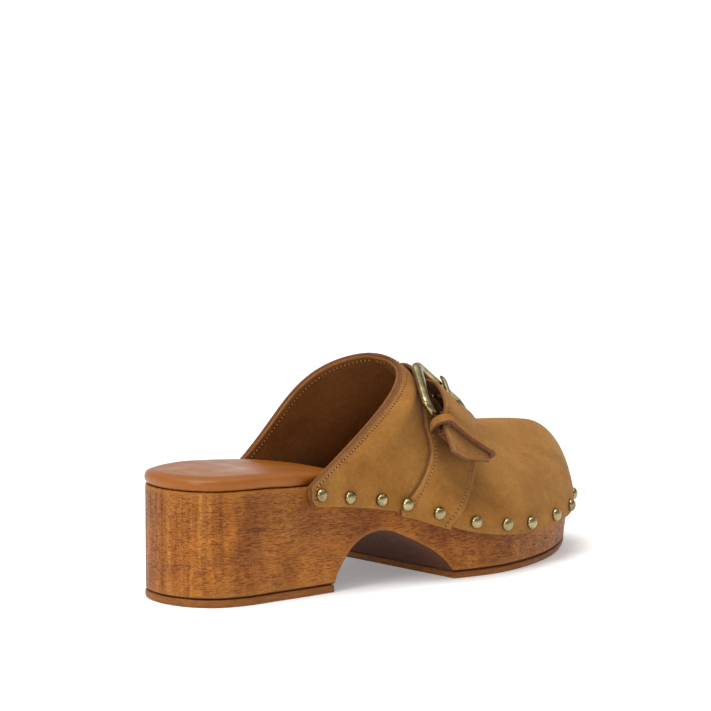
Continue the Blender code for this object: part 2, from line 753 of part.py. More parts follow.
def make_chape():
    """A folded suede tab round the pivot bar; its ends lie along the lateral strap."""
    radius = BAR_RADIUS + GAP
    turns = [math.radians(a) for a in np.linspace(-100.0, 100.0, 13)]
    wrap = [(-BAR_T + radius * math.cos(a), radius * math.sin(a)) for a in turns]
    spread = radius + CHAPE
    outer = [(-BAR_T + spread * math.cos(a), spread * math.sin(a)) for a in turns]
    tail = (-BAR_T - CHAPE_LENGTH, -1.6)
    path = [(tail[0], tail[1] - 0.15)] + wrap + [(tail[0], tail[1] + 0.15)]
    back = [(tail[0], tail[1] + 0.15 + CHAPE)] + outer[::-1]
    back += [(tail[0], tail[1] - 0.15 - CHAPE)]
    grid = np.array([[on_frame(t, b, n) for t, n in path]
                     for b in (-HALF_CHAPE, HALF_CHAPE)])
    cover = np.array([[on_frame(t, b, n) for t, n in back[::-1]]
                      for b in (-HALF_CHAPE, HALF_CHAPE)])
    return slab("buckle_chape", grid, cover, LOOKS["suede"])


def frame_t(point):
    return float((point - FRAME_CENTRE) @ FRAME_T)


def column_at(base, normal, column, target):
    """Point and normal on the strap's pointed end where it crosses t = target."""
    row = base.shape[1] - 1
    while row > 1 and frame_t(base[column, row]) < target:
        row -= 1
    row = min(row, base.shape[1] - 2)
    low, high = frame_t(base[column, row + 1]), frame_t(base[column, row])
    share = min(1.6, max(0.0, (high - target) / (high - low)))
    point = blend(base[column, row], base[column, row + 1], share)
    return point, normal[column, row]


def make_keeper(surface, base, normal):
    """A band sewn over the strap's pointed end, with a foot on each side of it."""
    lines = []
    for rear_t, front_t in KEEPER_LINES:
        over = []
        for column in range(STRAP_COLUMNS):
            target = blend(rear_t, front_t, column / (STRAP_COLUMNS - 1))
            point, out = column_at(base, normal, column, target)
            over.append(point + out * (STRAP + 1.1))
        rear = (over[0] - over[2]) / np.linalg.norm(over[0] - over[2])
        front = (over[-1] - over[-3]) / np.linalg.norm(over[-1] - over[-3])
        line = [surface.foot(over[0] - rear * 4.4), surface.foot(over[0] - rear * 1.9)]
        line.append(blend(line[-1], over[0], 0.5) + rear * 1.3)
        line += over
        tucked = over[-1] + FRAME_T * 1.5
        feet = [surface.foot(tucked - front * 0.8), surface.foot(tucked - front * 3.3)]
        line.append(blend(feet[0], over[-1], 0.5) + front * 1.3)
        lines.append(open_curve(np.array(line + feet), 30))
    grid = np.array(lines)
    return slab("strap_keeper", grid, grid + sheet_normals(grid) * KEEPER, LOOKS["suede"])


def slot_cutter(name, low, high, half):
    """A box in the buckle's axes from (t, n) low to high, centred on the pin."""
    t = (low[0], high[0], high[0], low[0])
    b = (-half, -half, half, half)
    points = [on_frame(*p, n) for n in (low[1], high[1]) for p in zip(t, b)]
    faces = [(0, 3, 2, 1), (4, 5, 6, 7), (0, 1, 5, 4), (1, 2, 6, 5), (2, 3, 7, 6), (3, 0, 4, 7)]
    return cutter(name, points, faces)


# ---------------------------------------------------------------- studs
def lathe_faces(rings, around):
    faces = []
    for k in range(rings - 1):
        for j in range(around):
            a, b = k * around + j, k * around + (j + 1) % around
            faces.append((a, b, b + around, a + around))
    faces.append(tuple(reversed(range(around))))
    faces.append(tuple(range((rings - 1) * around, rings * around)))
    return faces


def turned(origin, axis, profile, around):
    """Points of a turned solid: profile of (distance along axis, radius)."""
    axis = axis / np.linalg.norm(axis)
    side = np.cross(axis, (0.0, 0.0, 1.0))
    side /= np.linalg.norm(side)
    other = np.cross(axis, side)
    points = []
    for reach, radius in profile:
        for turn in np.linspace(0, 2 * math.pi, around + 1)[:-1]:
            spoke = side * math.cos(turn) + other * math.sin(turn)
            points.append(origin + axis * reach + spoke * radius)
    return np.array(points)


def stud_seats(surface):
    """Seat on the outer face, outward axis and strap flag of every stud."""
    seats = []
    for side, stops in ((1, LATERAL_STUDS), (-1, MEDIAL_STUDS)):
        flat, normal = side_run(side)
        length = np.linalg.norm(np.diff(flat, axis=0), axis=1).sum()
        for stop, on_strap in stops:
            point, axis = along(flat, stop / length), along(normal, stop / length)
            drop = STUD_DROP + (0.9 if on_strap else 0.0) - (0.8 if stop < 6 else 0.0)
            start = np.array((*(point + axis * 20.0), float(wood_top(point[1])) - drop))
            inward = -np.array((*axis, 0.0))
            seat, facing, _, _ = surface.tree.ray_cast(Vector(start), Vector(inward))
            facing = np.array(facing) * (-1.0 if np.array(facing) @ inward > 0.0 else 1.0)
            seats.append((np.array(seat), facing, on_strap))
    return seats


def make_studs(surface):
    """Domed studs with shanks, and one cutter that drills all of their holes."""
    holes = []
    for index, (point, axis, on_strap) in enumerate(stud_seats(surface)):
        lift = LAYER + (LAYER + STRAP if on_strap else 0.0)
        foot = -(SUEDE + LAYER + LINING + SEAT + STUD_LENGTH)
        profile = [(foot, 0.7), (lift, 0.8), (lift, 3.5), (lift + 0.5, 3.65),
                   (lift + 1.6, 2.8), (lift + 2.35, 1.2)]
        points = turned(point, axis, profile, STUD_SIDES)
        build(f"stud_{index + 1:02d}", points, lathe_faces(len(profile), STUD_SIDES),
              MAIN, LOOKS["brass"])
        hole = [(foot - 0.4, 1.15), (9.0, 1.15)]
        holes.append(turned(point, axis, hole, HOLE_SIDES))
    faces = []
    for index in range(len(holes)):
        first = index * 2 * HOLE_SIDES
        faces += [tuple(i + first for i in f) for f in lathe_faces(2, HOLE_SIDES)]
    return cutter("cut_stud_holes", np.vstack(holes), faces)


# ---------------------------------------------------------------- assembly
clear_scene()
MAIN = new_collection("wooden_clog")
CUTTERS = new_collection("cutters")
LOOKS = {
    "wood": material("sole_wood", (0.36, 0.15, 0.05), 0.45),
    "outsole": material("outsole_rubber", (0.42, 0.2, 0.09), 0.6),
    "leather": material("footbed_leather", (0.4, 0.14, 0.05), 0.4),
    "foam": material("footbed_foam", (0.75, 0.7, 0.55), 0.9),
    "suede": material("camel_suede", (0.42, 0.22, 0.09), 0.95),
    "lining": material("lining_suede", (0.3, 0.14, 0.06), 0.9),
    "brass": material("antique_brass", (0.6, 0.5, 0.28), 0.3, 1.0),
}
WOOD = make_wood_sole()
make_heel_toplift()
make_forefoot_outsole()
make_footbed()
VAMP, INNER, OUTER_GRID = make_upper()
SURFACE = Surface(OUTER_GRID)
LATERAL = make_lateral_strap(SURFACE)
MEDIAL, STRAP_GRID, STRAP_NORMALS = make_medial_strap(SURFACE)
combine(MEDIAL, slot_cutter("cut_pin_slot", (-9.0, -6.0), (12.6, 10.0), 1.7), "DIFFERENCE")
CHAPE_TAB = make_chape()
combine(CHAPE_TAB, slot_cutter("cut_chape_slot", (-21.2, -6.0), (-8.0, 6.0), 1.7), "DIFFERENCE")
make_keeper(SURFACE, STRAP_GRID, STRAP_NORMALS)
make_frame()
make_prong()
HOLES = make_studs(SURFACE)
for drilled in (WOOD, VAMP, INNER, LATERAL, MEDIAL):
    combine(drilled, HOLES, "DIFFERENCE")
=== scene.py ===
"""Visual model of the wooden clog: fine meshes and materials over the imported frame."""
import math

import bmesh
import bpy
import numpy as np
from mathutils import Matrix, Vector
from mathutils.bvhtree import BVHTree

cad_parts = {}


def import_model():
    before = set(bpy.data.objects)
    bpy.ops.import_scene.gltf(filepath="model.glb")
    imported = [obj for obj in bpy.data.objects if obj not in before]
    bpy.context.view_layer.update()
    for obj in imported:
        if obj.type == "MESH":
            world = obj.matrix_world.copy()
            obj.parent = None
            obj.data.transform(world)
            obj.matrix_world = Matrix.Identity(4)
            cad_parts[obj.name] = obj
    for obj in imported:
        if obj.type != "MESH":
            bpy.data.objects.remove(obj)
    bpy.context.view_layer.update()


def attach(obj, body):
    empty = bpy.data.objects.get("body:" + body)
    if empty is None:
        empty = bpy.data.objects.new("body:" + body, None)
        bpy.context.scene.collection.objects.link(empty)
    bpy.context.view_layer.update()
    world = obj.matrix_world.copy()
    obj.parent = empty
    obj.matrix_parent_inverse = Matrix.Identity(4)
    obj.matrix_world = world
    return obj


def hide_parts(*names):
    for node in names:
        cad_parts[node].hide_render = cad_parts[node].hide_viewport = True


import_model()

# ---------------------------------------------------------------- driving dimensions
MM = 0.001
CENTRE_X = 3.6                  # middle of the finished width
CENTRE_Y = 125.15               # middle of the finished length
GAP = 0.3

SOLE_OUTLINE = (                # plan of the wood, anticlockwise from the back of the heel
    (0, 0), (14, 3), (24, 11), (29, 24), (30, 40), (31, 56), (31.5, 72), (32.5, 86),
    (35, 100), (39, 116), (43.5, 132), (47, 148), (48, 162), (46, 176), (42.5, 190),
    (38, 204), (33, 215.5), (26.5, 226), (18, 235.5), (7, 243), (-6, 247),
    (-17, 245.5), (-27, 239), (-34, 227), (-38.5, 212), (-40.5, 195), (-41, 178),
    (-40.3, 160), (-38, 142), (-34.5, 125), (-31, 108), (-29, 92), (-28.5, 76),
    (-29, 60), (-29.5, 42), (-28.5, 25), (-23.5, 11), (-14, 3))
WOOD_TOP = (                    # height of the wood's top edge along the length
    (-8, 50.8), (30, 50.7), (45, 49.9), (62, 48.8), (79, 46.8), (97, 44), (111, 40.5),
    (125, 35.5), (142, 30), (160, 27), (178, 25.5), (200, 26), (222, 27.5), (245, 29.3),
    (258, 30.5))
ARCH = (                        # underside of the waist, from the breast to the forefoot
    (73.5, 3.8), (74.5, 7), (77, 11), (81.5, 17), (86.5, 21.2), (92, 23.8), (98, 24.8),
    (104, 23.9), (110, 21.2), (117, 17.8), (124, 13.6), (130, 8.6), (134.5, 3.3))
HEEL_LIFT = 3.5                 # toplift under the heel
OUTSOLE = 3.0                   # outsole under the forefoot
TOE_SPRING = 4.5                # rise of the toe off the floor
TOE_SPRING_FROM = 192.0
TOE_TAPER = 3.0                 # how far the toe's lower edge tucks in
TOE_TAPER_FROM = 172.0

FOOTBED = 6.6                   # rim of the footbed at the heel
FOOTBED_TOE = 4.0               # thickness of the footbed at the toe
FOOTBED_INSET = 4.6             # step back of the footbed under the upper
SUEDE = 1.4
LINING = 1.0
SKIRT = 8.6                     # how far the upper laps down the side of the wood
CORNER = 4.0                    # rounding of the upper's rear lower corners
SHOULDER = 3.2                  # fullness of the lateral side under the buckle
LATERAL_REAR = 57.0             # where the upper starts on each side
MEDIAL_REAR = 66.0
SPINE = (                       # ridge of the upper: x, y, z
    (-8, 130, 99.5), (-7.6, 142, 92.6), (-7.2, 155, 82), (-6.8, 168, 72.4),
    (-6.4, 180, 65.8), (-6, 192, 62.6), (-5.6, 204, 61.4), (-5.2, 216, 60.2))

SEAT = 0.75                     # between the wood's side and the lining
LAYER = 0.5                     # between the lining, the upper and each strap
STRAP = 1.6                     # thickness of both straps
STRAP_PAST_HEM = 1.6            # the straps end just below the upper's hem
LATERAL_REAR_EDGE = ((-30, 50.5), (20, 48.0), (36, 46.0), (46, 40.0), (58, 35.5), (95, 34.0))
LATERAL_FRONT_EDGE = ((-30, 73.5), (0, 73.0), (25, 75.5), (45, 73.5), (70, 66.0), (95, 66.0))
LATERAL_END = 69.0              # the lateral strap ends inside the buckle, in degrees
MEDIAL_PLANES = (45.0, 73.0)
HALF_STRAP = 14.0
STRAP_THROUGH = ((19.5, -4.8), (15.5, -4.3), (11.0, -3.0), (6.5, 0.6), (2.0, 3.9),
                 (-4.0, 5.5), (-10.0, 5.9), (-15.5, 5.3))

FRAME_CENTRE = np.array((27.3, 144.8, 76.3))
FRAME_LEAN = math.radians(43.0)
FRAME_T = np.array((-math.cos(FRAME_LEAN), 0.6 * math.sin(FRAME_LEAN),
                    0.8 * math.sin(FRAME_LEAN)))
FRAME_B = np.array((0.0, 0.8, -0.6))
FRAME_N = np.array((math.sin(FRAME_LEAN), 0.6 * math.cos(FRAME_LEAN),
                    0.8 * math.cos(FRAME_LEAN)))
KEEPER = 1.5
KEEPER_LINES = ((-24.4, -24.8), (-22.9, -23.2), (-21.4, -21.7), (-19.9, -20.2))
BAR_T = 15.5                    # from the middle of the frame to each bar
RAIL_B = 18.2                   # from the middle of the frame to each rail
BAR_RADIUS = 2.1
RAIL_WIDTH = 6.4
PRONG_RING = 3.6
HALF_CHAPE = 9.5
CHAPE = 1.4
CHAPE_LENGTH = 8.6

MEDIAL_STUDS = ((5, False), (22, False), (40, True), (58, True), (76, False),
                (94, False), (112, False), (130, False), (148, False), (166, False),
                (183, False))
STUD_DROP = 4.4                 # below the wood's top edge
LATERAL_STUDS = ((5, False), (22, False), (39, False), (50.8, True), (66.5, True),
                 (86, False), (103.3, False), (121, False), (143.5, False), (164.5, False),
                 (189, False))
# the strap past the buckle, (t, b, n) at its rear edge, middle and front edge
STRAP_BEND = ((-23.0, -12.6, 1.7), (-23.0, 2.0, 2.7), (-21.0, 16.5, 4.9))
STRAP_POINT = ((-40.0, -10.4, 0.6), (-35.2, 2.0, 0.3), (-27.3, 18.3, 3.9))
KEEPER_VIEW = 2.5               # thickness of the keeper with its turned edge
STITCH_PITCH = 1.95
STITCH_LENGTH = 1.3
STITCH_INSET = 2.9              # stitch rows from the straps' edges

SIDE_POINTS = 300               # points along each side of the sole and footbed
STRAP_COLUMNS = 37
STRAP_ROWS = 210
UPPER_COLUMNS = 100
DOME_ROWS = 34
STUD_SIDES = 28
THREAD_SIDES = 8
KEEPER_ROWS = 120

HEEL_END, TOE_END = -1.0, 999.0  # limits that keep the whole length of an outline
HEEL_BREAST = 73.0              # front of the heel's toplift
ARCH_FRONT = 134.0              # where the arch meets the forefoot
OUTSOLE_REAR = 134.9
FOOTBED_STEP = 1.9              # step back of the footbed where the upper starts
DOME_LIFT = 0.6                 # start of the upper's dome above the wood's top edge
TOE_TUCK = 1.9                  # how much closer the upper lies to the wood at the toe
STRAP_LIFT = 0.7                # lateral strap above the upper
KEEPER_CLEAR = 0.7              # keeper's feet above the lateral strap
COLLAR_INSET = 3.0              # stitch row from the collar's edge
TIP_INSET = 3.2                 # stitch row from the strap's cut end
THREAD_RADIUS = 0.34
THREAD_PROFILE = (              # (share of the radius, rise) along one stitch
    (0.45, -0.18), (0.9, 0.04), (1.0, 0.12), (1.0, 0.12), (0.9, 0.04), (0.45, -0.18))
FLOOR = 40                      # half the floor's width, in metres
CAMERA_PLACE = (1.0986, -1.00355, 0.2824)
CAMERA_RIGHT = (0.669, 0.743, 0.0)
CAMERA_BACK = (0.738, -0.664, 0.122)
CAMERA_LENS = 165.4


# ---------------------------------------------------------------- meshes
def world(points):
    """Design millimetres to metres about the middle of the finished clog."""
    flat = np.asarray(points, dtype=float).reshape(-1, 3)
    return (flat - (CENTRE_X, CENTRE_Y, 0.0)) * MM


def add_object(name, data):
    """A new object in the scene's own collection."""
    made = bpy.data.objects.new(name, data)
    bpy.context.scene.collection.objects.link(made)
    return made


def ring_walls(rings, around):
    """Quads between neighbouring closed rings of the same size."""
    faces = []
    for base in range(0, (rings - 1) * around, around):
        for k in range(around):
            after = (k + 1) % around
            faces.append((base + k, base + after, base + around + after, base + around + k))
    return faces


def build(name, points, faces, looks, slots=None, wear=None, sharp=50.0):
    """One object from points in design millimetres; slots gives each face's material."""
    mesh = bpy.data.meshes.new(name)
    mesh.from_pydata([tuple(p) for p in world(points)], [], faces)
    for look in looks:
        mesh.materials.append(look)
    if slots is not None:
        mesh.polygons.foreach_set("material_index", slots)
    if wear is not None:
        layer = mesh.attributes.new("wear", "FLOAT", "POINT")
        layer.data.foreach_set("value", np.asarray(wear, dtype=np.float32).ravel())
    work = bmesh.new()
    work.from_mesh(mesh)
    bmesh.ops.remove_doubles(work, verts=work.verts, dist=0.000005)
    bmesh.ops.recalc_face_normals(work, faces=work.faces)
    work.to_mesh(mesh)
    work.free()
    mesh.shade_smooth()
    mesh.set_sharp_from_angle(angle=math.radians(sharp))
    return add_object(name, mesh)


def place(made, body, slot, *nodes):
    """Ride on a body and stand in for CAD nodes; the slot argument is not used."""
    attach(made, body)
    if nodes:
        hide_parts(*nodes)
    return made


# ---------------------------------------------------------------- curves
def smooth_step(value):
    held = np.clip(value, 0.0, 1.0)
    return held * held * (3.0 - 2.0 * held)


def closed_curve(points, count):
    """Evenly spaced points on a closed Catmull-Rom curve."""
    base = np.asarray(points, dtype=float)
    before, after, next_after = (np.roll(base, k, axis=0) for k in (1, -1, -2))
    fine = []
    for t in np.arange(0, 1, 0.05):
        fine.append(0.5 * (2 * base + (after - before) * t
                           + (2 * before - 5 * base + 4 * after - next_after) * t ** 2
                           + (3 * base - before - 3 * after + next_after) * t ** 3))
    dense = np.stack(fine, axis=1).reshape(-1, 2)
    return resample(np.vstack([dense, dense[:1]]), count + 1)[:-1]


def run_of(points):
    """Length along a polyline at each of its points."""
    steps = np.linalg.norm(np.diff(points, axis=0), axis=1)
    return np.concatenate([[0.0], np.cumsum(steps)])


def at_run(where, run, points):
    """Points of a polyline at one length along it, or at several."""
    return np.stack([np.interp(where, run, points[:, k])
                     for k in range(points.shape[1])], axis=-1)


def resample(points, count):
    """Evenly spaced points along an open polyline."""
    run = run_of(points)
    return at_run(np.linspace(0.0, run[-1], count), run, points)


def open_curve(points, count):
    """Evenly spaced points on an open Catmull-Rom curve."""
    base = np.asarray(points, dtype=float)
    ends = np.vstack([2 * base[0] - base[1], base, 2 * base[-1] - base[-2]])
    fine = []
    for k in range(len(base) - 1):
        a, b, c, d = ends[k:k + 4]
        for t in np.arange(0, 1, 0.05):
            fine.append(0.5 * (2 * b + (c - a) * t + (2 * a - 5 * b + 4 * c - d) * t ** 2
                               + (3 * b - a - 3 * c + d) * t ** 3))
    return resample(np.vstack([fine, base[-1]]), count)


def normals_2d(points):
    """Outward normals of an anticlockwise closed outline."""
    along = np.roll(points, -1, axis=0) - np.roll(points, 1, axis=0)
    along /= np.linalg.norm(along, axis=1, keepdims=True)
    return np.stack([along[:, 1], -along[:, 0]], axis=1)


OUTLINE = closed_curve(SOLE_OUTLINE, 400)
TOP_CURVE = open_curve(WOOD_TOP, 90)
FINE_OUTLINE = closed_curve(SOLE_OUTLINE, 1200)
FINE_NORMALS = normals_2d(FINE_OUTLINE)


def wood_top(y):
    return np.interp(y, TOP_CURVE[:, 0], TOP_CURVE[:, 1])


def toe_rise(y):
    reach = 246.0 - TOE_SPRING_FROM
    return TOE_SPRING * (np.clip(np.asarray(y) - TOE_SPRING_FROM, 0, None) / reach) ** 2


def along(points, share):
    steps = np.linalg.norm(np.diff(points, axis=0), axis=1)
    run = np.concatenate([[0.0], np.cumsum(steps)]) / steps.sum()
    return np.array([np.interp(share, run, points[:, k]) for k in range(points.shape[1])])


def blend(a, b, share):
    return a + (b - a) * share


def wood_under(y):
    """Height of the wood's underside: heel seat, arch, then the rising forefoot."""
    arch = open_curve(ARCH, 160)
    low = np.interp(y, arch[:, 0], arch[:, 1])
    front = OUTSOLE + GAP + toe_rise(y)
    return np.where(np.asarray(y) < ARCH_FRONT, low, front)


# ---------------------------------------------------------------- sole pieces
def paired(flat, low=HEEL_END, high=TOE_END):
    """Matched lateral and medial points of an outline between two lengths."""
    tip = int(np.argmax(flat[:, 1]))
    lateral = flat[:tip + 1]
    medial = np.vstack([flat[tip:], flat[:1]])[::-1]
    sides = []
    for side in (lateral, medial):
        keep = side[(side[:, 1] >= low) & (side[:, 1] <= high)]
        sides.append(resample(keep, SIDE_POINTS))
    return sides


def offset_sides(grow, low=HEEL_END, high=TOE_END):
    """Matched sides of the sole's outline, grown outward by a distance per point."""
    return paired(FINE_OUTLINE + FINE_NORMALS * grow[:, None], low, high)


def toe_taper(z):
    taper = TOE_TAPER * smooth_step((FINE_OUTLINE[:, 1] - TOE_TAPER_FROM) / 62.0)
    return taper * np.clip((26.0 - z) / 26.0, 0.0, 1.3)


def ring_cap(ring, start, total, height, to_heel=True, to_toe=True, columns=12):
    """Faces and inner points that close a ring from side to side, at height(spot, share)."""
    count = len(ring)
    ids = np.zeros((SIDE_POINTS, columns + 1), dtype=int)
    extra, faces = [], []
    for k in range(SIDE_POINTS):
        other = (count - k) % count if to_heel else count - 1 - k
        other = k if to_toe and k == SIDE_POINTS - 1 else other
        ids[k, 0], ids[k, -1] = start + k, start + other
        for c in range(1, columns):
            spot = blend(ring[k], ring[other], c / columns)
            ids[k, c] = total + len(extra)
            extra.append((spot[0], spot[1], height(spot, c / columns)))
    for k in range(SIDE_POINTS - 1):
        for c in range(columns):
            corners = (ids[k, c], ids[k, c + 1], ids[k + 1, c + 1], ids[k + 1, c])
            face = tuple(dict.fromkeys(int(i) for i in corners))
            if len(face) > 2:
                faces.append(face)
    return faces, np.array(extra)


def sole_solid(name, levels, floor_z, roof_z, looks, low=HEEL_END, high=TOE_END):
    """A solid between two height functions, as rings of (offset, share of height)."""
    to_heel, to_toe = low == HEEL_END, high == TOE_END
    first, last = (1 if to_heel else 0), (-1 if to_toe else None)
    rings, wears = [], []
    for grow, share, lift, wear in levels:
        rough_z = blend(floor_z(FINE_OUTLINE[:, 1]), roof_z(FINE_OUTLINE[:, 1]), share) + lift
        lateral, medial = offset_sides(grow - toe_taper(rough_z), low, high)
        ring = np.vstack([lateral, medial[first:last][::-1]])
        z = blend(floor_z(ring[:, 1]), roof_z(ring[:, 1]), share) + lift
        rings.append(np.column_stack([ring, z]))
        wears.append(np.full(len(ring), wear))
    count = len(rings[0])
    points, faces = [np.vstack(rings)], ring_walls(len(rings), count)
    for level in (0, len(rings) - 1):
        share, lift = levels[level][1:3]
        cap, extra = ring_cap(rings[level], level * count, sum(len(p) for p in points),
                              lambda spot, _: blend(float(floor_z(spot[1])),
                                                    float(roof_z(spot[1])), share) + lift,
                              to_heel, to_toe)
        points.append(extra)
        wears.append(np.zeros(len(extra)))
        faces += cap
    return build(name, np.vstack(points), faces, looks, wear=np.concatenate(wears))


def make_wood():
    levels = [(-1.1, 0, 0, 0.0), (-0.5, 0, 0.12, 1.0), (-0.15, 0, 0.4, 1.0), (0, 0, 1.0, 0.75),
              (0, 0.04, 1.1, 0.3)]
    levels += [(0, s, 0.7 * (1 - 2 * s), 0.0) for s in np.linspace(0.12, 0.9, 12)]
    levels += [(0, 1, -2.2, 0.2), (0, 1, -1.0, 0.7), (-0.15, 1, -0.4, 1.0),
               (-0.5, 1, -0.12, 0.8), (-1.1, 1, 0, 0.0)]
    made = sole_solid("sole_block", levels, wood_under, wood_top, [LOOKS["wood"]])
    return place(made, "clog", "sole_wood", "wood_sole")


def make_toplift():
    levels = [(-0.6, 0, 0, 0.0), (-0.1, 0, 0.25, 0.0), (0.25, 0, 0.8, 0.3), (0.3, 0.5, 0, 0.0),
              (0.2, 1, -0.7, 0.2), (-0.1, 1, -0.15, 0.4), (-0.7, 1, 0, 0.0)]
    made = sole_solid("heel_tap", levels, lambda y: 0.0 * np.asarray(y),
                      lambda y: HEEL_LIFT + 0.0 * np.asarray(y), [LOOKS["outsole"]],
                      high=HEEL_BREAST)
    return place(made, "clog", "outsole_rubber", "heel_toplift")


def make_outsole():
    levels = [(-0.7, 0, 0, 0.0), (-0.2, 0, 0.2, 0.0), (0.1, 0, 0.7, 0.2), (0.2, 0.5, 0, 0.0),
              (0.1, 1, -0.6, 0.5), (-0.2, 1, -0.15, 0.8), (-0.8, 1, 0, 0.0)]
    made = sole_solid("front_outsole", levels, toe_rise,
                      lambda y: OUTSOLE + toe_rise(y), [LOOKS["outsole"]], low=OUTSOLE_REAR)
    return place(made, "clog", "outsole_rubber", "forefoot_outsole")


# ---------------------------------------------------------------- footbed
def footbed_height(y):
    thin = FOOTBED - (FOOTBED - FOOTBED_TOE) * smooth_step((np.asarray(y) - 60.0) / 90.0)
    return thin - GAP


def make_footbed():
    """A rolled leather cover with a soft bullnose rim and a faint dish."""
    y = FINE_OUTLINE[:, 1]
    step = FOOTBED_STEP * smooth_step((y - 48.0) / 12.0)
    step = step + (FOOTBED_INSET - FOOTBED_STEP) * smooth_step((y - 60.0) / 35.0)
    rim = [(-3.0, 0.0), (-0.9, 0.0)]
    for turn in np.linspace(-80, 60, 15):
        a = math.radians(turn)
        rim.append((-1.75 + 2.1 * math.cos(a), 0.42 + 0.42 * math.sin(a)))
    rim += [(-2.2, 0.86), (-3.4, 0.925), (-5.0, 0.965), (-7.5, 0.985), (-11.0, 0.975)]
    rings = []
    for grow, share in rim:
        lateral, medial = offset_sides(grow - step)
        ring = np.vstack([lateral, medial[1:-1][::-1]])
        z = wood_top(ring[:, 1]) + GAP + footbed_height(ring[:, 1]) * share
        rings.append(np.column_stack([ring, z]))
    count = len(rings[0])
    points, faces = [np.vstack(rings)], ring_walls(len(rings), count)
    for level, full in ((0, 0.0), (len(rings) - 1, 1.0)):
        cap, extra = ring_cap(rings[level], level * count, sum(len(p) for p in points),
                              lambda spot, share: float(wood_top(spot[1])) + GAP + full
                              * float(footbed_height(spot[1]))
                              * (0.985 - 0.02 * math.sin(math.pi * share)))
        points.append(extra)
        faces += cap
    made = build("footbed_pad", np.vstack(points), faces, [LOOKS["leather"]])
    return place(made, "clog", "footbed_leather", "footbed_cover", "footbed_foam")


# ---------------------------------------------------------------- upper surface
def side_run(side):
    """Outline from the upper's rear corner to the toe on one side (+1 lateral)."""
    tip = int(np.argmax(FINE_OUTLINE[:, 1]))
    start = LATERAL_REAR if side > 0 else MEDIAL_REAR
    if side > 0:
        index = np.arange(0, tip + 1)
    else:
        index = np.arange(len(FINE_OUTLINE) - 1, tip - 1, -1)
    flat = FINE_OUTLINE[index]
    keep = index[(flat[:, 1] >= start)]
    return FINE_OUTLINE[keep], FINE_NORMALS[keep]


def spine_point(share):
    """Point of the ridge matched to a share of the run from the rear corner."""
    ridge = open_curve(SPINE, 80)
    return ridge[0] if share <= 0 else along(ridge, 1.0 - (1.0 - share) ** 1.26)


def from_outline(point):
    """Distance from a plan point to the wood's outline."""
    step = np.roll(OUTLINE, -1, axis=0) - OUTLINE
    share = ((point - OUTLINE) * step).sum(axis=1) / (step * step).sum(axis=1)
    near = OUTLINE + step * np.clip(share, 0.0, 1.0)[:, None]
    return float(np.min(np.linalg.norm(point - near, axis=1)))


def upper_column(side, share, grow):
    """Points up one column of the upper's outer face, from hem to ridge."""
    flat, normal = side_run(side)
    foot = along(flat, share) + along(normal, share) * grow
    inward = -along(normal, share)
    inward /= np.linalg.norm(inward)
    foot = foot - inward * (grow - from_outline(foot))
    top = spine_point(share)
    base_z = float(wood_top(foot[1])) + DOME_LIFT
    reach = top[:2] - foot
    deep = reach @ inward
    slide = reach - deep * inward
    power = fullness(share)
    lead = (0.18 if side > 0 else -0.28) * (1.0 - share)
    swell = SHOULDER * float(smooth_step(share / 0.12) - smooth_step((share - 0.2) / 0.22))
    swell = swell if side > 0 else 0.0
    points = []
    for tau in np.linspace(0.0, math.pi / 2, DOME_ROWS + 1):
        across = 1.0 - math.cos(tau) ** power
        up = math.sin(tau) ** power
        sweep = up * (1.0 + lead * math.sin(2.0 * tau))
        bump = swell * 3.08 * math.sin(tau) * math.cos(tau) ** 3
        flat_point = foot + inward * (deep * across - bump) + slide * sweep
        points.append((*flat_point, base_z + (top[2] - base_z) * up + 0.6 * bump))
    return foot, base_z, points


def hem_height(side, share, base_z):
    """Lower edge of the upper, rounded up at the rear corner."""
    flat, _ = side_run(side)
    run = np.linalg.norm(np.diff(flat, axis=0), axis=1).sum() * share
    lift = 0.0
    if run < CORNER:
        lift = CORNER - math.sqrt(CORNER ** 2 - (CORNER - run) ** 2)
    return base_z - SKIRT - DOME_LIFT + lift


def grid_faces(shape):
    """Quads of a grid of columns by rows."""
    columns, rows = shape[:2]
    faces = []
    for c in range(columns - 1):
        for r in range(rows - 1):
            a = c * rows + r
            faces.append((a, a + 1, a + rows + 1, a + rows))
    return faces


def grid_normals(grid):
    """Outward unit normals of the upper's grid, shared where the two sides meet."""
    across = np.gradient(grid, axis=0)
    up = np.gradient(grid, axis=1)
    normal = np.cross(across, up)
    normal /= np.maximum(np.linalg.norm(normal, axis=2, keepdims=True), 1e-9)
    ridge = normal[:, -1] + normal[::-1, -1]
    normal[:, -1] = ridge / np.linalg.norm(ridge, axis=1, keepdims=True)
    outward = 1.0 if normal[3, 2, 0] > 0 else -1.0
    return normal * outward


def fullness(share):
    """Exponent of the section: rounder at the collar, bulging at the toe."""
    pinch = float(smooth_step((share - 0.04) / 0.3))
    bulge = float(smooth_step((share - 0.34) / 0.42))
    toe = float(smooth_step((share - 0.6) / 0.3))
    return 1.0 + 0.38 * pinch - 0.56 * bulge - 0.13 * toe


def upper_grid(grow):
    """Columns of points round the toe from the lateral to the medial rear corner."""
    shares = np.concatenate([[0.0, 0.006, 0.013, 0.021], np.linspace(0.03, 1.0, UPPER_COLUMNS)])
    sides = [(1, s) for s in shares] + [(-1, s) for s in shares[::-1][1:]]
    grid = []
    for side, share in sides:
        tuck = TOE_TUCK * float(smooth_step((share - 0.66) / 0.26))
        foot, base_z, dome = upper_column(side, share, grow - tuck)
        hem = hem_height(side, share, base_z)
        skirt = [(*foot, z) for z in np.linspace(hem, base_z, 9)[:-1]]
        grid.append(skirt + dome)
    return np.array(grid)


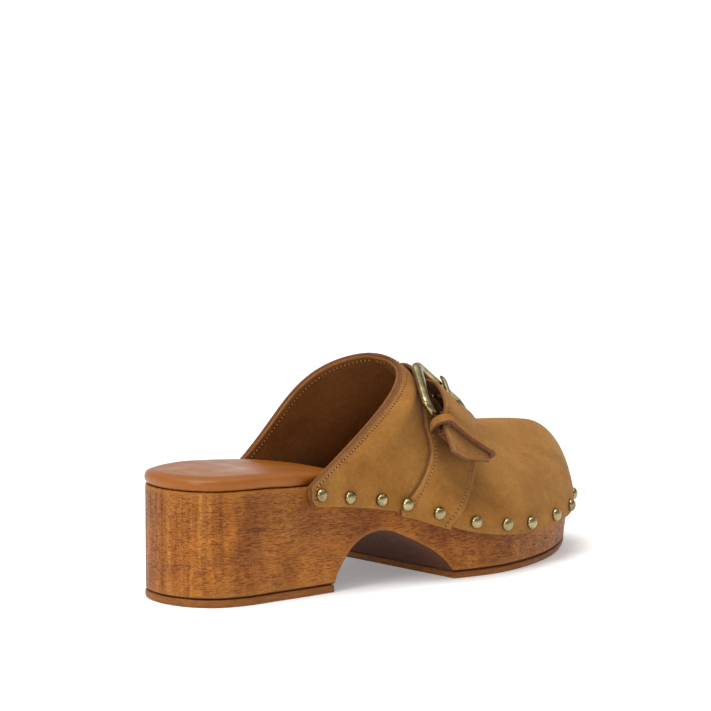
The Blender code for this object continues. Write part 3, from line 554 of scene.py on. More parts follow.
class Surface:
    """The upper's outer face, searched by rays from a line inside the shoe."""

    def __init__(self, grid):
        points = [Vector(p) for p in grid.reshape(-1, 3)]
        self.tree = BVHTree.FromPolygons(points, grid_faces(grid.shape))

    def hit(self, plane, degrees):
        """Point where a ray in an inclined cross plane meets the upper."""
        turn = math.radians(degrees)
        start = Vector((-4.0, 40.0 + plane * math.sqrt(2.0), 40.0))
        lean = math.sin(turn) * math.sqrt(0.5)
        found = self.tree.ray_cast(start, Vector((math.cos(turn), lean, lean)))
        return None if found[0] is None else np.array(found[0])

    def foot(self, point):
        """Nearest seat on the outside of the lateral strap."""
        near, facing, _, _ = self.tree.find_nearest(Vector(point))
        facing = np.array(facing)
        if facing @ (np.array(point) - np.array(near)) < 0.0:
            facing = -facing
        return np.array(near) + facing * (LAYER + STRAP + KEEPER + KEEPER_CLEAR)

    def hem(self, plane, side):
        """Lowest point of the upper in a cross plane on one side."""
        inside, outside = (0.0, -60.0) if side > 0 else (180.0, 240.0)
        for _ in range(30):
            middle = 0.5 * (inside + outside)
            if self.hit(plane, middle) is None:
                outside = middle
            else:
                inside = middle
        return inside


def sheet_normals(grid):
    """Unit normals of an open grid, pointing away from the inside of the shoe."""
    normal = np.cross(np.gradient(grid, axis=0), np.gradient(grid, axis=1))
    normal /= np.maximum(np.linalg.norm(normal, axis=2, keepdims=True), 1e-9)
    middle = grid[grid.shape[0] // 2, grid.shape[1] // 2]
    facing = normal[grid.shape[0] // 2, grid.shape[1] // 2] @ (middle - (-4, middle[1], 40))
    return normal if facing > 0 else -normal


def strap_foot(surface, plane, side):
    """The two lowest points of a strap: its cut end just past the hem, then the hem."""
    low = surface.hit(plane, surface.hem(plane, side))
    return [low - np.array((0.0, 0.0, STRAP_PAST_HEM)), low]


def edge_plane(edge, degrees):
    """Cross plane of a strap's edge at a turn about the shoe, softly blended."""
    spread = np.linspace(-6.0, 6.0, 5)
    return float(np.mean(np.interp(degrees + spread, *np.array(edge, float).T)))


def on_frame(along_t, across_b, out_n):
    """Point in the buckle's own axes: t up the strap, b along the bar, n outward."""
    return FRAME_CENTRE + FRAME_T * along_t + FRAME_B * across_b + FRAME_N * out_n


def curve_columns(keys_of_column, rows):
    """A grid of smooth columns through key points given per column share."""
    columns = [open_curve(np.array(keys_of_column(share)), rows)
               for share in np.linspace(0.0, 1.0, STRAP_COLUMNS)]
    return np.array(columns)


def lifted(surface, rear, front, share, lift):
    """Point over the upper between a rear and a front (plane, angle) pair."""
    plane = blend(rear[0], front[0], share)
    degrees = blend(rear[1], front[1], share)
    point = surface.hit(plane, degrees)
    side = surface.hit(plane + 2.0, degrees) - surface.hit(plane - 2.0, degrees)
    rise = surface.hit(plane, degrees + 3.0) - surface.hit(plane, degrees - 3.0)
    normal = np.cross(side, rise)
    return point + normal / np.linalg.norm(normal) * lift


def frame_t(point):
    return float((point - FRAME_CENTRE) @ FRAME_T)


def column_at(base, normal, column, target):
    """Point and normal on the strap's pointed end where it crosses t = target."""
    row = base.shape[1] - 1
    while row > 1 and frame_t(base[column, row]) < target:
        row -= 1
    row = min(row, base.shape[1] - 2)
    low, high = frame_t(base[column, row + 1]), frame_t(base[column, row])
    share = min(1.6, max(0.0, (high - target) / (high - low)))
    point = blend(base[column, row], base[column, row + 1], share)
    return point, normal[column, row]


def loop_faces(shape):
    """Faces of a tube that closes on itself in both directions."""
    loops, around = shape[:2]
    faces = []
    for k in range(loops):
        for j in range(around):
            a, b = k * around + j, k * around + (j + 1) % around
            c, d = (((k + 1) % loops) * around + (j + 1) % around,
                    ((k + 1) % loops) * around + j)
            faces.append((a, b, c, d))
    return faces


def lathe_faces(rings, around):
    """Faces of a turned solid: its walls and a cap at each end."""
    faces = ring_walls(rings, around)
    faces.append(tuple(reversed(range(around))))
    faces.append(tuple(range((rings - 1) * around, rings * around)))
    return faces


def turned(origin, axis, profile, around):
    """Points of a turned solid: profile of (distance along axis, radius)."""
    axis = axis / np.linalg.norm(axis)
    side = np.cross(axis, (0.0, 0.0, 1.0))
    side /= np.linalg.norm(side)
    other = np.cross(axis, side)
    points = []
    for reach, radius in profile:
        for turn in np.linspace(0, 2 * math.pi, around + 1)[:-1]:
            spoke = side * math.cos(turn) + other * math.sin(turn)
            points.append(origin + axis * reach + spoke * radius)
    return np.array(points)


def medial_keys(surface, share):
    """Key points of the medial strap: up the medial side, through the buckle, down."""
    foot_plane = blend(*MEDIAL_PLANES, share)
    keys = strap_foot(surface, foot_plane, -1)
    keys = [keys[0] - (LAYER, 0, 0), keys[1] - (LAYER, 0, 0)]
    start = surface.hem(foot_plane, -1) - 6.0
    for degrees in np.linspace(start, 90.0, 12):
        drift = smooth_step((start - degrees) / (start - 90.0))
        plane = foot_plane - blend(7.5, 9.0, share) * drift
        seat = (plane, degrees)
        ridge = 1.4 * smooth_step((134.0 - degrees) / 16.0)
        keys.append(lifted(surface, seat, seat, 0.5, LAYER + 0.25 + ridge))
    width = blend(-HALF_STRAP, HALF_STRAP, share)
    keys += [on_frame(t, width, n) for t, n in STRAP_THROUGH]
    for line in (STRAP_BEND, STRAP_POINT):
        spot = [np.interp(share, (0.0, 0.5, 1.0), column) for column in zip(*line)]
        keys.append(on_frame(*spot))
    return keys


# ---------------------------------------------------------------- leather sheets
def rim_of(shape, ridge=False):
    """Indices round the border of a grid of columns by rows."""
    columns, rows = shape[:2]
    rim = [c * rows for c in range(columns)]
    rim += [(columns - 1) * rows + r for r in range(1, rows)]
    if not ridge:
        rim += [c * rows + rows - 1 for c in range(columns - 2, -1, -1)]
    rim += list(range(rows - 2, 0, -1))
    return rim


def leather(name, inner, outer, looks, ridge=False, bulge=0.3):
    """A closed sheet of leather between two grids with a rounded raw edge."""
    shape = inner.shape
    count = shape[0] * shape[1]
    quads = grid_faces(shape)
    faces = quads + [tuple(i + count for i in reversed(q)) for q in quads]
    slots = [0] * len(quads) + [1] * len(quads)
    low, high = inner.reshape(-1, 3), outer.reshape(-1, 3)
    rim = rim_of(shape, ridge)
    edge_low, edge_high = low[rim], high[rim]
    run = np.roll(edge_low, -1, axis=0) - np.roll(edge_low, 1, axis=0)
    run /= np.maximum(np.linalg.norm(run, axis=1, keepdims=True), 1e-9)
    thick = edge_high - edge_low
    out = np.cross(run, thick)
    out /= np.maximum(np.linalg.norm(out, axis=1, keepdims=True), 1e-9)
    inset = low[[rim_inner(i, shape) for i in rim]]
    facing = np.sum(out * (edge_low - inset), axis=1)
    out = np.where(facing[:, None] < 0.0, -out, out)
    points = [low, high]
    total = 2 * count
    previous = list(rim)
    for share in (0.2, 0.5, 0.8):
        ring = edge_low + thick * share + out * bulge * math.sin(math.pi * share)
        points.append(ring)
        current = list(range(total, total + len(rim)))
        total += len(rim)
        for k in range(len(rim)):
            after = (k + 1) % len(rim)
            faces.append((previous[after], previous[k], current[k], current[after]))
            slots.append(2)
        previous = current
    for k in range(len(rim)):
        after = (k + 1) % len(rim)
        faces.append((previous[after], previous[k], rim[k] + count, rim[after] + count))
        slots.append(2)
    return build(name, np.vstack(points), faces, looks, slots, sharp=60.0)


def rim_inner(index, shape):
    """The grid point one step in from a border point."""
    column, row = divmod(index, shape[1])
    column = min(max(column, 1), shape[0] - 2)
    row = min(max(row, 1), shape[1] - 2)
    return column * shape[1] + row


def run_across(grid):
    """Length across a strap from its rear edge, for each grid point."""
    step = np.linalg.norm(np.diff(grid, axis=0), axis=2)
    return np.vstack([np.zeros(grid.shape[1]), np.cumsum(step, axis=0)])


def from_sides(grid):
    """Distance of each grid point to the strap's two long edges, in millimetres."""
    run = run_across(grid)
    return np.minimum(run, run[-1] - run)


def with_groove(grid, normal, lift):
    """The outer face of a strap: sunk along the stitch rows, eased at its edges."""
    near = from_sides(grid)
    sink = 0.22 * np.exp(-((near - STITCH_INSET) / 0.75) ** 2)
    ease = 0.3 * np.clip(1.0 - near / 1.1, 0.0, 1.0) ** 2
    swell = 0.12 * np.exp(-((near - 1.4) / 0.8) ** 2)
    return grid + normal * (lift - sink - ease + swell)[:, :, None]


def stitch_row(name, path, normals, slot):
    """Separate rounded stitches of thread along a path, with a painted-shade disc at each hole.
    """
    run = run_of(path)
    rings = len(THREAD_PROFILE)
    turn = np.linspace(0, 2 * math.pi, THREAD_SIDES, endpoint=False)
    points, faces, slots = [], [], []
    for start in np.arange(0.6, run[-1] - STITCH_LENGTH, STITCH_PITCH):
        spots = np.linspace(start, start + STITCH_LENGTH, rings)
        centre, out = at_run(spots, run, path), at_run(spots, run, normals)
        out /= np.linalg.norm(out, axis=1, keepdims=True)
        forward = np.gradient(centre, axis=0)
        forward /= np.linalg.norm(forward, axis=1, keepdims=True)
        side = np.cross(forward, out)
        first = sum(len(p) for p in points)
        for k, (share, rise) in enumerate(THREAD_PROFILE):
            size = THREAD_RADIUS * share
            ring = (centre[k] + out[k] * rise + np.outer(np.cos(turn), side[k]) * size
                    + np.outer(np.sin(turn), out[k]) * size)
            points.append(ring)
        faces += [tuple(i + first for i in f) for f in lathe_faces(rings, THREAD_SIDES)]
        slots += [0] * (len(faces) - len(slots))
        # painted shade: a small near-black disc at each needle hole stands for the shade inside
        # the hole
        hole = centre[0] - forward[0] * 0.5 * (STITCH_PITCH - STITCH_LENGTH)
        for reach, size in ((-0.3, 0.62), (0.03, 0.55), (0.06, 0.25)):
            points.append(hole + out[0] * reach + np.outer(np.cos(turn), side[0]) * size
                          + np.outer(np.sin(turn), forward[0]) * size * 0.75)
        first += rings * THREAD_SIDES
        faces += [tuple(i + first for i in f) for f in lathe_faces(3, THREAD_SIDES)]
        slots += [1] * (len(faces) - len(slots))
    made = build(name, np.vstack(points), faces, [LOOKS["thread"], LOOKS["hole"]],
                 slots)
    return place(made, "clog", slot)


# ---------------------------------------------------------------- upper pieces
def make_upper():
    grow = SEAT + LINING + LAYER + SUEDE
    outer = upper_grid(grow)
    normal = grid_normals(outer)
    vamp = leather("suede_upper", outer - normal * SUEDE, outer, SUEDE_SHEET, ridge=True)
    place(vamp, "clog", "camel_suede", "vamp_upper")
    lining_out = outer - normal * (SUEDE + 0.15)
    lining_in = outer - normal * (SUEDE + LAYER + LINING)
    lining = leather("suede_lining", lining_in, lining_out, [LOOKS["lining"]] * 3,
                     ridge=True)
    place(lining, "clog", "lining_suede", "vamp_lining")
    return outer, normal


def collar_stitches(outer, normal):
    """One row of thread along the collar, on the outside and on the lining."""
    for tag, side in (("lateral", 1), ("medial", -1)):
        columns = range(outer.shape[0]) if side > 0 else range(outer.shape[0] - 1, -1, -1)
        rows = outer.shape[1]
        spot, out = [], []
        for row in range(2, rows):
            line = np.array([outer[c, row] for c in columns][:24])
            facing = np.array([normal[c, row] for c in columns][:24])
            run = run_of(line)
            spot.append(at_run(COLLAR_INSET, run, line))
            out.append(at_run(COLLAR_INSET, run, facing))
        spot, out = np.array(spot), np.array(out)
        stitch_row(f"collar_stitches_{tag}", spot, out, "camel_suede")
        inside = spot - out * (SUEDE + LAYER + LINING)
        stitch_row(f"lining_stitches_{tag}", inside, -out, "lining_suede")


def lateral_base(surface):
    """Path of the lateral strap over the upper, before it is lifted off it."""
    grid = []
    for share in np.linspace(0.0, 1.0, STRAP_COLUMNS):
        foot = blend(LATERAL_REAR_EDGE[0][1], LATERAL_FRONT_EDGE[0][1], share)
        column = strap_foot(surface, foot, 1)
        start = surface.hem(foot, 1) + 4.0
        for degrees in np.linspace(start, LATERAL_END, 20):
            rear = edge_plane(LATERAL_REAR_EDGE, degrees)
            front = edge_plane(LATERAL_FRONT_EDGE, degrees)
            column.append(surface.hit(blend(rear, front, share), degrees))
        grid.append(open_curve(np.array(column), 90))
    return np.array(grid)


def edge_stitches(tag, grid, normal, first, last):
    """Stitch rows along both long edges of a strap, between two rows of its grid."""
    run = run_across(grid)
    for side in ("rear", "front"):
        spot, out = [], []
        for row in range(first, last):
            reach = STITCH_INSET if side == "rear" else run[-1, row] - STITCH_INSET
            spot.append(at_run(reach, run[:, row], grid[:, row]))
            out.append(at_run(reach, run[:, row], normal[:, row]))
        stitch_row(f"{tag}_stitches_{side}", np.array(spot), np.array(out),
                   "camel_suede")


def make_lateral_strap(surface):
    base = lateral_base(surface)
    normal = sheet_normals(base)
    top = with_groove(base, normal, STRAP_LIFT + STRAP)
    made = leather("lateral_band", base + normal * STRAP_LIFT, top,
                   SUEDE_SHEET)
    place(made, "clog", "camel_suede", "lateral_strap")
    edge_stitches("lateral", base + normal * (0.5 + STRAP), normal, 1, 88)


def make_medial_strap(surface):
    base = curve_columns(lambda share: medial_keys(surface, share), STRAP_ROWS)
    normal = sheet_normals(base)
    top = with_groove(base, normal, STRAP)
    made = leather("medial_band", base, top, SUEDE_SHEET)
    cut_slot(made)
    place(made, "clog", "camel_suede", "medial_strap")
    edge_stitches("medial", base + normal * (STRAP - 0.2), normal, 2, STRAP_ROWS - 14)
    tip_stitches(top, normal)
    return base, normal


def tip_stitches(top, normal):
    """A short row of thread along the strap's cut end."""
    spot, out = [], []
    for column in range(5, STRAP_COLUMNS - 4):
        line, facing = top[column, ::-1][:20], normal[column, ::-1][:20]
        run = run_of(line)
        spot.append(at_run(TIP_INSET, run, line))
        out.append(at_run(TIP_INSET, run, facing))
    stitch_row("tip_stitches", np.array(spot), np.array(out), "camel_suede")


def cut_slot(target):
    """The punched slot that the pin stands through, and its relief under the strap."""
    ends = ((-4.4, 0.0), (-3.8, 1.2), (-2.8, 1.7), (11.4, 1.7), (12.3, 1.2), (12.9, 0.0),
            (12.3, -1.2), (11.4, -1.7), (-2.8, -1.7), (-3.8, -1.2))
    relief = ((-14.0, 1.8), (-3.4, 1.8), (-3.4, -1.8), (-14.0, -1.8))
    for outline, low, high in ((ends, -6.0, 10.0), (relief, 1.0, 6.5)):
        points = [on_frame(t, b, n) for n in (low, high) for t, b in outline]
        count = len(outline)
        faces = [tuple(range(count))[::-1], tuple(range(count, 2 * count))]
        faces += [(k, (k + 1) % count, count + (k + 1) % count, count + k)
                  for k in range(count)]
        tool = build("slot_tool", points, faces, [LOOKS["edge"]])
        step = target.modifiers.new("Slot", "BOOLEAN")
        step.operation = "DIFFERENCE"
        step.solver = "EXACT"
        step.object = tool
        graph = bpy.context.evaluated_depsgraph_get()
        mesh = bpy.data.meshes.new_from_object(target.evaluated_get(graph))
        target.modifiers.clear()
        target.data = mesh
        bpy.data.objects.remove(tool)


def make_shade_web(surface, base, normal):
    """A narrow dark sheet of flesh-side suede closing the tunnel under the strap: painted shade
    where the tunnel lies in shadow.
    """
    walls = []
    for column in (27, 29):
        wall = []
        for row in range(base.shape[1]):
            if -21.0 < frame_t(base[column, row]) < 19.5 and normal[column, row] @ FRAME_N > 0:
                top = base[column, row] + normal[column, row] * 0.4
                found = surface.tree.ray_cast(Vector(top), Vector(-FRAME_N))
                low = top - FRAME_N * 3.0 if found[0] is None else np.array(found[0])
                wall.append([blend(top, low - FRAME_N, share)
                             for share in np.linspace(0, 1, 8)])
        walls.append(np.array(wall).transpose(1, 0, 2))
    made = leather("painted_shade_web", walls[0], walls[1], [LOOKS["lining"]] * 3)
    place(made, "clog", "lining_suede")


def make_keeper(surface, base, normal):
    """A band sewn over the strap's pointed end, with a foot on each side of it."""
    lines = []
    shares = np.linspace(0, len(KEEPER_LINES) - 1, 10)
    ends = np.array(KEEPER_LINES)
    for share in shares:
        rear_t, front_t = (float(np.interp(share, range(len(ends)), ends[:, k]))
                           for k in (0, 1))
        over = []
        for column in range(0, STRAP_COLUMNS, 6):
            target = blend(rear_t, front_t, column / (STRAP_COLUMNS - 1))
            point, out = column_at(base, normal, column, target)
            over.append(point + out * (STRAP + 1.1))
        rear = (over[0] - over[2]) / np.linalg.norm(over[0] - over[2])
        front = (over[-1] - over[-3]) / np.linalg.norm(over[-1] - over[-3])
        line = [surface.foot(over[0] - rear * 4.4), surface.foot(over[0] - rear * 1.9)]
        line.append(blend(line[-1], over[0], 0.5) + rear * 1.3)
        line += over
        tucked = over[-1] + FRAME_T * 3.2
        feet = [surface.foot(tucked - front * 0.8), surface.foot(tucked - front * 3.3)]
        line.append(blend(feet[0], over[-1], 0.5) + front * 1.3)
        lines.append(open_curve(np.array(line + feet), KEEPER_ROWS))
    grid = np.array(lines)
    facing = sheet_normals(grid)
    row = np.arange(KEEPER_ROWS)
    taper = np.clip(np.minimum(row, row[::-1]) / 22.0, 0.25, 1.0)
    made = leather("keeper_band", grid, grid + facing * (KEEPER_VIEW * taper)[None, :, None],
                   SUEDE_SHEET)
    place(made, "clog", "camel_suede", "strap_keeper")


# ---------------------------------------------------------------- buckle
def make_frame():
    """Chunky rounded rectangle, thick on the rails and round on the pivot bar."""
    corner = 5.5
    path = []
    for quarter in range(4):
        sign_t, sign_b = ((1, 1), (-1, 1), (-1, -1), (1, -1))[quarter]
        centre = np.array((sign_t * (BAR_T - corner), sign_b * (RAIL_B - corner)))
        for k in range(6):
            turn = math.radians(90.0 * quarter + 18.0 * k)
            path.append(centre + corner * np.array((math.cos(turn), math.sin(turn))))
    path = closed_curve(path, 140)
    after, before = np.roll(path, -1, axis=0), np.roll(path, 1, axis=0)
    along_path = (after - before) / np.linalg.norm(after - before, axis=1, keepdims=True)
    outward = np.stack([along_path[:, 1], -along_path[:, 0]], axis=1)
    rings = []
    for point, out in zip(path, outward):
        rail = min(1.0, abs(out[1]) * 1.2)
        wide = blend(BAR_RADIUS, RAIL_WIDTH / 2, rail)
        ring = []
        for turn in np.linspace(0, 2 * math.pi, 25)[:-1]:
            spread = point + out * wide * math.cos(turn)
            ring.append(on_frame(spread[0], spread[1], BAR_RADIUS * math.sin(turn)))
        rings.append(ring)
    rings = np.array(rings)
    made = build("buckle_ring", rings.reshape(-1, 3), loop_faces(rings.shape),
                 [LOOKS["brass"]])
    return place(made, "frame", "antique_brass", "buckle_frame")


def make_prong():
    """A tapered pin resting on the far bar, curled into an eye round the pivot bar."""
    keys = [(19.7, 2.2, 0.35), (19.2, 2.5, 0.75), (17.4, 3.1, 1.0), (14.0, 3.5, 1.15),
            (4.0, PRONG_RING, 1.2), (-8.0, PRONG_RING, 1.2)]
    for degrees in np.arange(90.0, 356.0, 11.0):
        turn = math.radians(degrees)
        keys.append((-BAR_T + PRONG_RING * math.cos(turn), PRONG_RING * math.sin(turn), 1.2))
    path = open_curve(np.array(keys), 110)
    centre = path[:, :2]
    along_path = np.gradient(centre, axis=0)
    along_path /= np.linalg.norm(along_path, axis=1, keepdims=True)
    points = []
    for (t, n, radius), (turn_t, turn_n) in zip(path, along_path):
        for roll in np.linspace(0, 2 * math.pi, 17)[:-1]:
            reach = radius * math.cos(roll)
            points.append(on_frame(t - turn_n * reach, radius * math.sin(roll),
                                   n + turn_t * reach))
    made = build("buckle_pin", points, lathe_faces(len(path), 16), [LOOKS["brass"]])
    return place(made, "prong", "antique_brass", "buckle_prong")


def make_chape():
    """A folded suede tab round the pivot bar; its ends lie along the lateral strap."""
    radius = BAR_RADIUS + GAP
    turns = [math.radians(a) for a in np.linspace(-100.0, 100.0, 41)]
    wrap = [(-BAR_T + radius * math.cos(a), radius * math.sin(a)) for a in turns]
    spread = radius + CHAPE
    outer = [(-BAR_T + spread * math.cos(a), spread * math.sin(a)) for a in turns]
    tail = (-BAR_T - CHAPE_LENGTH, -1.6)
    path = [(tail[0], tail[1] - 0.15)] + wrap + [(tail[0], tail[1] + 0.15)]
    back = [(tail[0], tail[1] - 0.15 - CHAPE)] + outer + [(tail[0], tail[1] + 0.15 + CHAPE)]
    for tag, low, high in (("rear", -HALF_CHAPE, -2.0), ("front", 2.0, HALF_CHAPE)):
        spans = np.linspace(low, high, 8)
        inner = np.array([[on_frame(t, b, n) for t, n in path] for b in spans])
        cover = np.array([[on_frame(t, b, n) for t, n in back] for b in spans])
        made = leather(f"buckle_tab_{tag}", inner, cover,
                       SUEDE_SHEET, bulge=0.15)
        place(made, "clog", "camel_suede", "buckle_chape")


# ---------------------------------------------------------------- studs
def make_studs(surface):
    """Domed nail heads with a short rim and a shank into the wood."""
    number = 0
    for side, stops in ((1, LATERAL_STUDS), (-1, MEDIAL_STUDS)):
        flat, normal = side_run(side)
        length = np.linalg.norm(np.diff(flat, axis=0), axis=1).sum()
        for stop, on_strap in stops:
            number += 1
            point, axis = along(flat, stop / length), along(normal, stop / length)
            drop = STUD_DROP - 0.3 + (0.2 if on_strap else 0.0) - (0.8 if stop < 6 else 0.0)
            start = np.array((*(point + axis * 20.0), float(wood_top(point[1])) - drop))
            inward = -np.array((*axis, 0.0))
            seat, facing, _, _ = surface.tree.ray_cast(Vector(start), Vector(inward))
            facing = np.array(facing) * (-1.0 if np.array(facing) @ inward > 0.0 else 1.0)
            lift = 0.15 + (LAYER + STRAP if on_strap else 0.0)
            profile = [(-5.0, 0.7), (lift, 0.8), (lift, 2.85), (lift + 0.1, 3.02),
                       (lift + 0.35, 3.07)]
            for turn in np.linspace(6, 88, 13):
                a = math.radians(turn)
                profile.append((lift + 0.4 + 2.35 * math.sin(a), 3.08 * math.cos(a)))
            points = turned(np.array(seat), facing, profile, STUD_SIDES)
            made = build(f"nail_head_{number:02d}", points,
                         lathe_faces(len(profile), STUD_SIDES), [LOOKS["brass"]])
            place(made, "clog", "antique_brass", f"stud_{number:02d}")


# ---------------------------------------------------------------- materials
def fill_ramp(ramp, stops):
    """Set a colour ramp's stops; a plain number is a grey."""
    while len(ramp.elements) < len(stops):
        ramp.elements.new(0.5)
    for element, (place_at, colour) in zip(ramp.elements, stops):
        element.position = place_at
        colour = colour if isinstance(colour, tuple) else (colour,) * 3
        element.color = (*colour, 1.0)


class Nodes:
    """Short calls for a Principled material's node tree."""

    def __init__(self, name, roughness, metallic=0.0, **sockets):
        self.made = bpy.data.materials.new(name)
        self.made.use_nodes = True
        self.tree = self.made.node_tree
        self.shader = self.tree.nodes["Principled BSDF"]
        self.shader.inputs["Roughness"].default_value = roughness
        self.shader.inputs["Metallic"].default_value = metallic
        for key, value in sockets.items():
            self.shader.inputs[key.replace("_", " ")].default_value = value
        self.coords = self.tree.nodes.new("ShaderNodeTexCoord").outputs["Object"]

    def link(self, a, b):
        self.tree.links.new(a, b)

    def stretched(self, scale, turn=(0, 0, 0)):
        node = self.tree.nodes.new("ShaderNodeMapping")
        node.inputs["Scale"].default_value = scale
        node.inputs["Rotation"].default_value = turn
        self.link(self.coords, node.inputs["Vector"])
        return node.outputs["Vector"]

    def noise(self, scale, detail=4.0, rough=0.55, distort=0.0, vector=None):
        node = self.tree.nodes.new("ShaderNodeTexNoise")
        node.inputs["Scale"].default_value = scale
        node.inputs["Detail"].default_value = detail
        node.inputs["Roughness"].default_value = rough
        node.inputs["Distortion"].default_value = distort
        self.link(vector or self.coords, node.inputs["Vector"])
        return node.outputs["Fac"]

    def ramp(self, value, *stops):
        node = self.tree.nodes.new("ShaderNodeValToRGB")
        fill_ramp(node.color_ramp, stops)
        self.link(value, node.inputs["Fac"])
        return node.outputs["Color"]

    def mix(self, share, a, b, mode="MIX"):
        node = self.tree.nodes.new("ShaderNodeMix")
        node.data_type = "RGBA"
        node.blend_type = mode
        for socket, value in ((node.inputs["Factor"], share), (node.inputs[6], a),
                              (node.inputs[7], b)):
            if isinstance(value, (int, float)):
                socket.default_value = value
            elif isinstance(value, tuple):
                socket.default_value = (*value, 1.0)
            else:
                self.link(value, socket)
        return node.outputs[2]

    def shade(self, share, base, value, *stops):
        """Multiply a colour by a ramp of some value."""
        return self.mix(share, base, self.ramp(value, *stops), "MULTIPLY")

    def maths(self, kind, a, b=0.5):
        node = self.tree.nodes.new("ShaderNodeMath")
        node.operation = kind
        for socket, value in zip(node.inputs, (a, b)):
            if isinstance(value, (int, float)):
                socket.default_value = value
            else:
                self.link(value, socket)
        return node.outputs[0]

    def wear(self):
        node = self.tree.nodes.new("ShaderNodeAttribute")
        node.attribute_name = "wear"
        return node.outputs["Fac"]

    def bump(self, *layers):
        """Stack of (height, strength, distance in metres)."""
        normal = None
        for height, strength, distance in layers:
            node = self.tree.nodes.new("ShaderNodeBump")
            node.inputs["Strength"].default_value = strength
            node.inputs["Distance"].default_value = distance
            self.link(height, node.inputs["Height"])
            if normal:
                self.link(normal, node.inputs["Normal"])
            normal = node.outputs["Normal"]
        self.link(normal, self.shader.inputs["Normal"])

    def finish(self, colour, roughness=None):
        self.link(colour, self.shader.inputs["Base Color"])
        if roughness:
            self.link(roughness, self.shader.inputs["Roughness"])
        return self.made


def wood_look():
    n = Nodes("oiled_wood", 0.52, Specular_IOR_Level=0.2)
    bands = n.noise(1.0, 4.0, 0.6, 0.5, n.stretched((170, 16, 8)))
    lines = n.noise(1.0, 2.0, 0.5, 0.9, n.stretched((430, 30, 20)))
    patches = n.noise(1.0, 2.0, 0.5, 0.6, n.stretched((30, 18, 48)))
    ripple = n.noise(1.0, 3.0, 0.6, 2.2, n.stretched((300, 150, 1050)))
    flecks = n.noise(1.0, 2.0, 0.7, 1.0, n.stretched((560, 300, 2200)))
    base = n.ramp(bands, (0.32, (0.235, 0.066, 0.0085)), (0.5, (0.33, 0.108, 0.0145)),
                  (0.66, (0.42, 0.165, 0.026)))
    base = n.shade(0.5, base, lines, (0.38, (0.55, 0.47, 0.38)), (0.5, (1.0, 1.0, 1.0)))
    base = n.shade(0.6, base, patches, (0.32, (0.66, 0.58, 0.5)), (0.68, (1.2, 1.18, 1.1)))
    waves = n.ramp(ripple, (0.4, (0.5, 0.43, 0.35)), (0.49, (1.0, 1.0, 1.0)),
                   (0.6, (1.42, 1.55, 1.6)))
    base = n.mix(0.85, base, waves, "MULTIPLY")
    base = n.shade(0.6, base, flecks, (0.36, (0.64, 0.57, 0.48)), (0.5, (1.0, 1.0, 1.0)))
    base = n.mix(n.maths("MULTIPLY", n.wear(), n.noise(260.0)), base,
                 (0.44, 0.175, 0.034))
    # painted shade: faces that turn down to the floor are mixed toward near black, shade
    # painted under the arch
    facing = n.tree.nodes.new("ShaderNodeNewGeometry").outputs["Normal"]
    split = n.tree.nodes.new("ShaderNodeSeparateXYZ")
    n.link(facing, split.inputs["Vector"])
    under = n.maths("MULTIPLY_ADD", split.outputs["Z"], -1.0)
    base = n.mix(n.ramp(under, (0.65, 0.0), (0.95, 1.0)), base, (0.09, 0.028, 0.008))
    n.bump((ripple, 0.6, 0.0004), (flecks, 0.3, 0.0002))
    return n.finish(base, n.ramp(ripple, (0.35, 0.62), (0.65, 0.4)))


def outsole_look():
    n = Nodes("tan_outsole", 0.58, Specular_IOR_Level=0.25)
    grain = n.noise(1.0, 3.0, 0.6, 0.6, n.stretched((300, 120, 1500)))
    base = n.ramp(grain, (0.3, (0.17, 0.05, 0.006)), (0.7, (0.32, 0.115, 0.016)))
    base = n.mix(n.maths("MULTIPLY", n.wear(), 0.6), base, (0.13, 0.045, 0.014))
    n.bump((grain, 0.3, 0.0002))
    return n.finish(base, n.ramp(n.noise(500.0), (0.3, 0.45), (0.7, 0.66)))


def leather_look():
    n = Nodes("cognac_leather", 0.38, Specular_IOR_Level=0.32)
    cloud = n.noise(30.0, 5.0, 0.6)
    pores = n.noise(1700.0, 2.0, 0.5)
    base = n.ramp(cloud, (0.3, (0.25, 0.07, 0.007)), (0.7, (0.35, 0.113, 0.012)))
    n.bump((pores, 0.12, 0.0001), (n.noise(240.0, 3.0), 0.1, 0.0003))
    return n.finish(base, n.ramp(n.noise(90.0, 4.0), (0.3, 0.27), (0.7, 0.42)))


def suede_look(name, dark, middle, light):
    n = Nodes(name, 0.92, Sheen_Weight=0.14, Sheen_Roughness=0.45, Specular_IOR_Level=0.2)
    n.shader.inputs["Sheen Tint"].default_value = (0.95, 0.72, 0.45, 1.0)
    cloud = n.noise(26.0, 5.0, 0.62, 0.5)
    strokes = n.noise(1.0, 4.0, 0.65, 1.0, n.stretched((130, 60, 90)))
    nap = n.noise(1500.0, 3.0, 0.65)
    base = n.ramp(cloud, (0.3, dark), (0.52, middle), (0.75, light))
    brushed = n.noise(430.0, 4.0, 0.7, 0.6)
    base = n.shade(0.5, base, brushed, (0.32, (0.78, 0.74, 0.68)), (0.68, (1.18, 1.2, 1.2)))
    base = n.shade(0.4, base, strokes, (0.3, (0.8, 0.76, 0.7)), (0.7, (1.15, 1.15, 1.15)))
    base = n.shade(0.55, base, nap, (0.32, (0.72, 0.68, 0.62)), (0.68, (1.2, 1.2, 1.2)))
    n.bump((nap, 0.6, 0.0003), (brushed, 0.3, 0.0004), (strokes, 0.25, 0.0005))
    return n.finish(base, n.ramp(cloud, (0.3, 0.96), (0.7, 0.86)))


def edge_look():
    n = Nodes("raw_leather_edge", 0.8)
    fibre = n.noise(1400.0, 4.0, 0.7)
    base = n.ramp(fibre, (0.3, (0.085, 0.025, 0.007)), (0.7, (0.22, 0.075, 0.022)))
    n.bump((fibre, 0.5, 0.0003))
    return n.finish(base, n.ramp(fibre, (0.3, 0.9), (0.7, 0.7)))


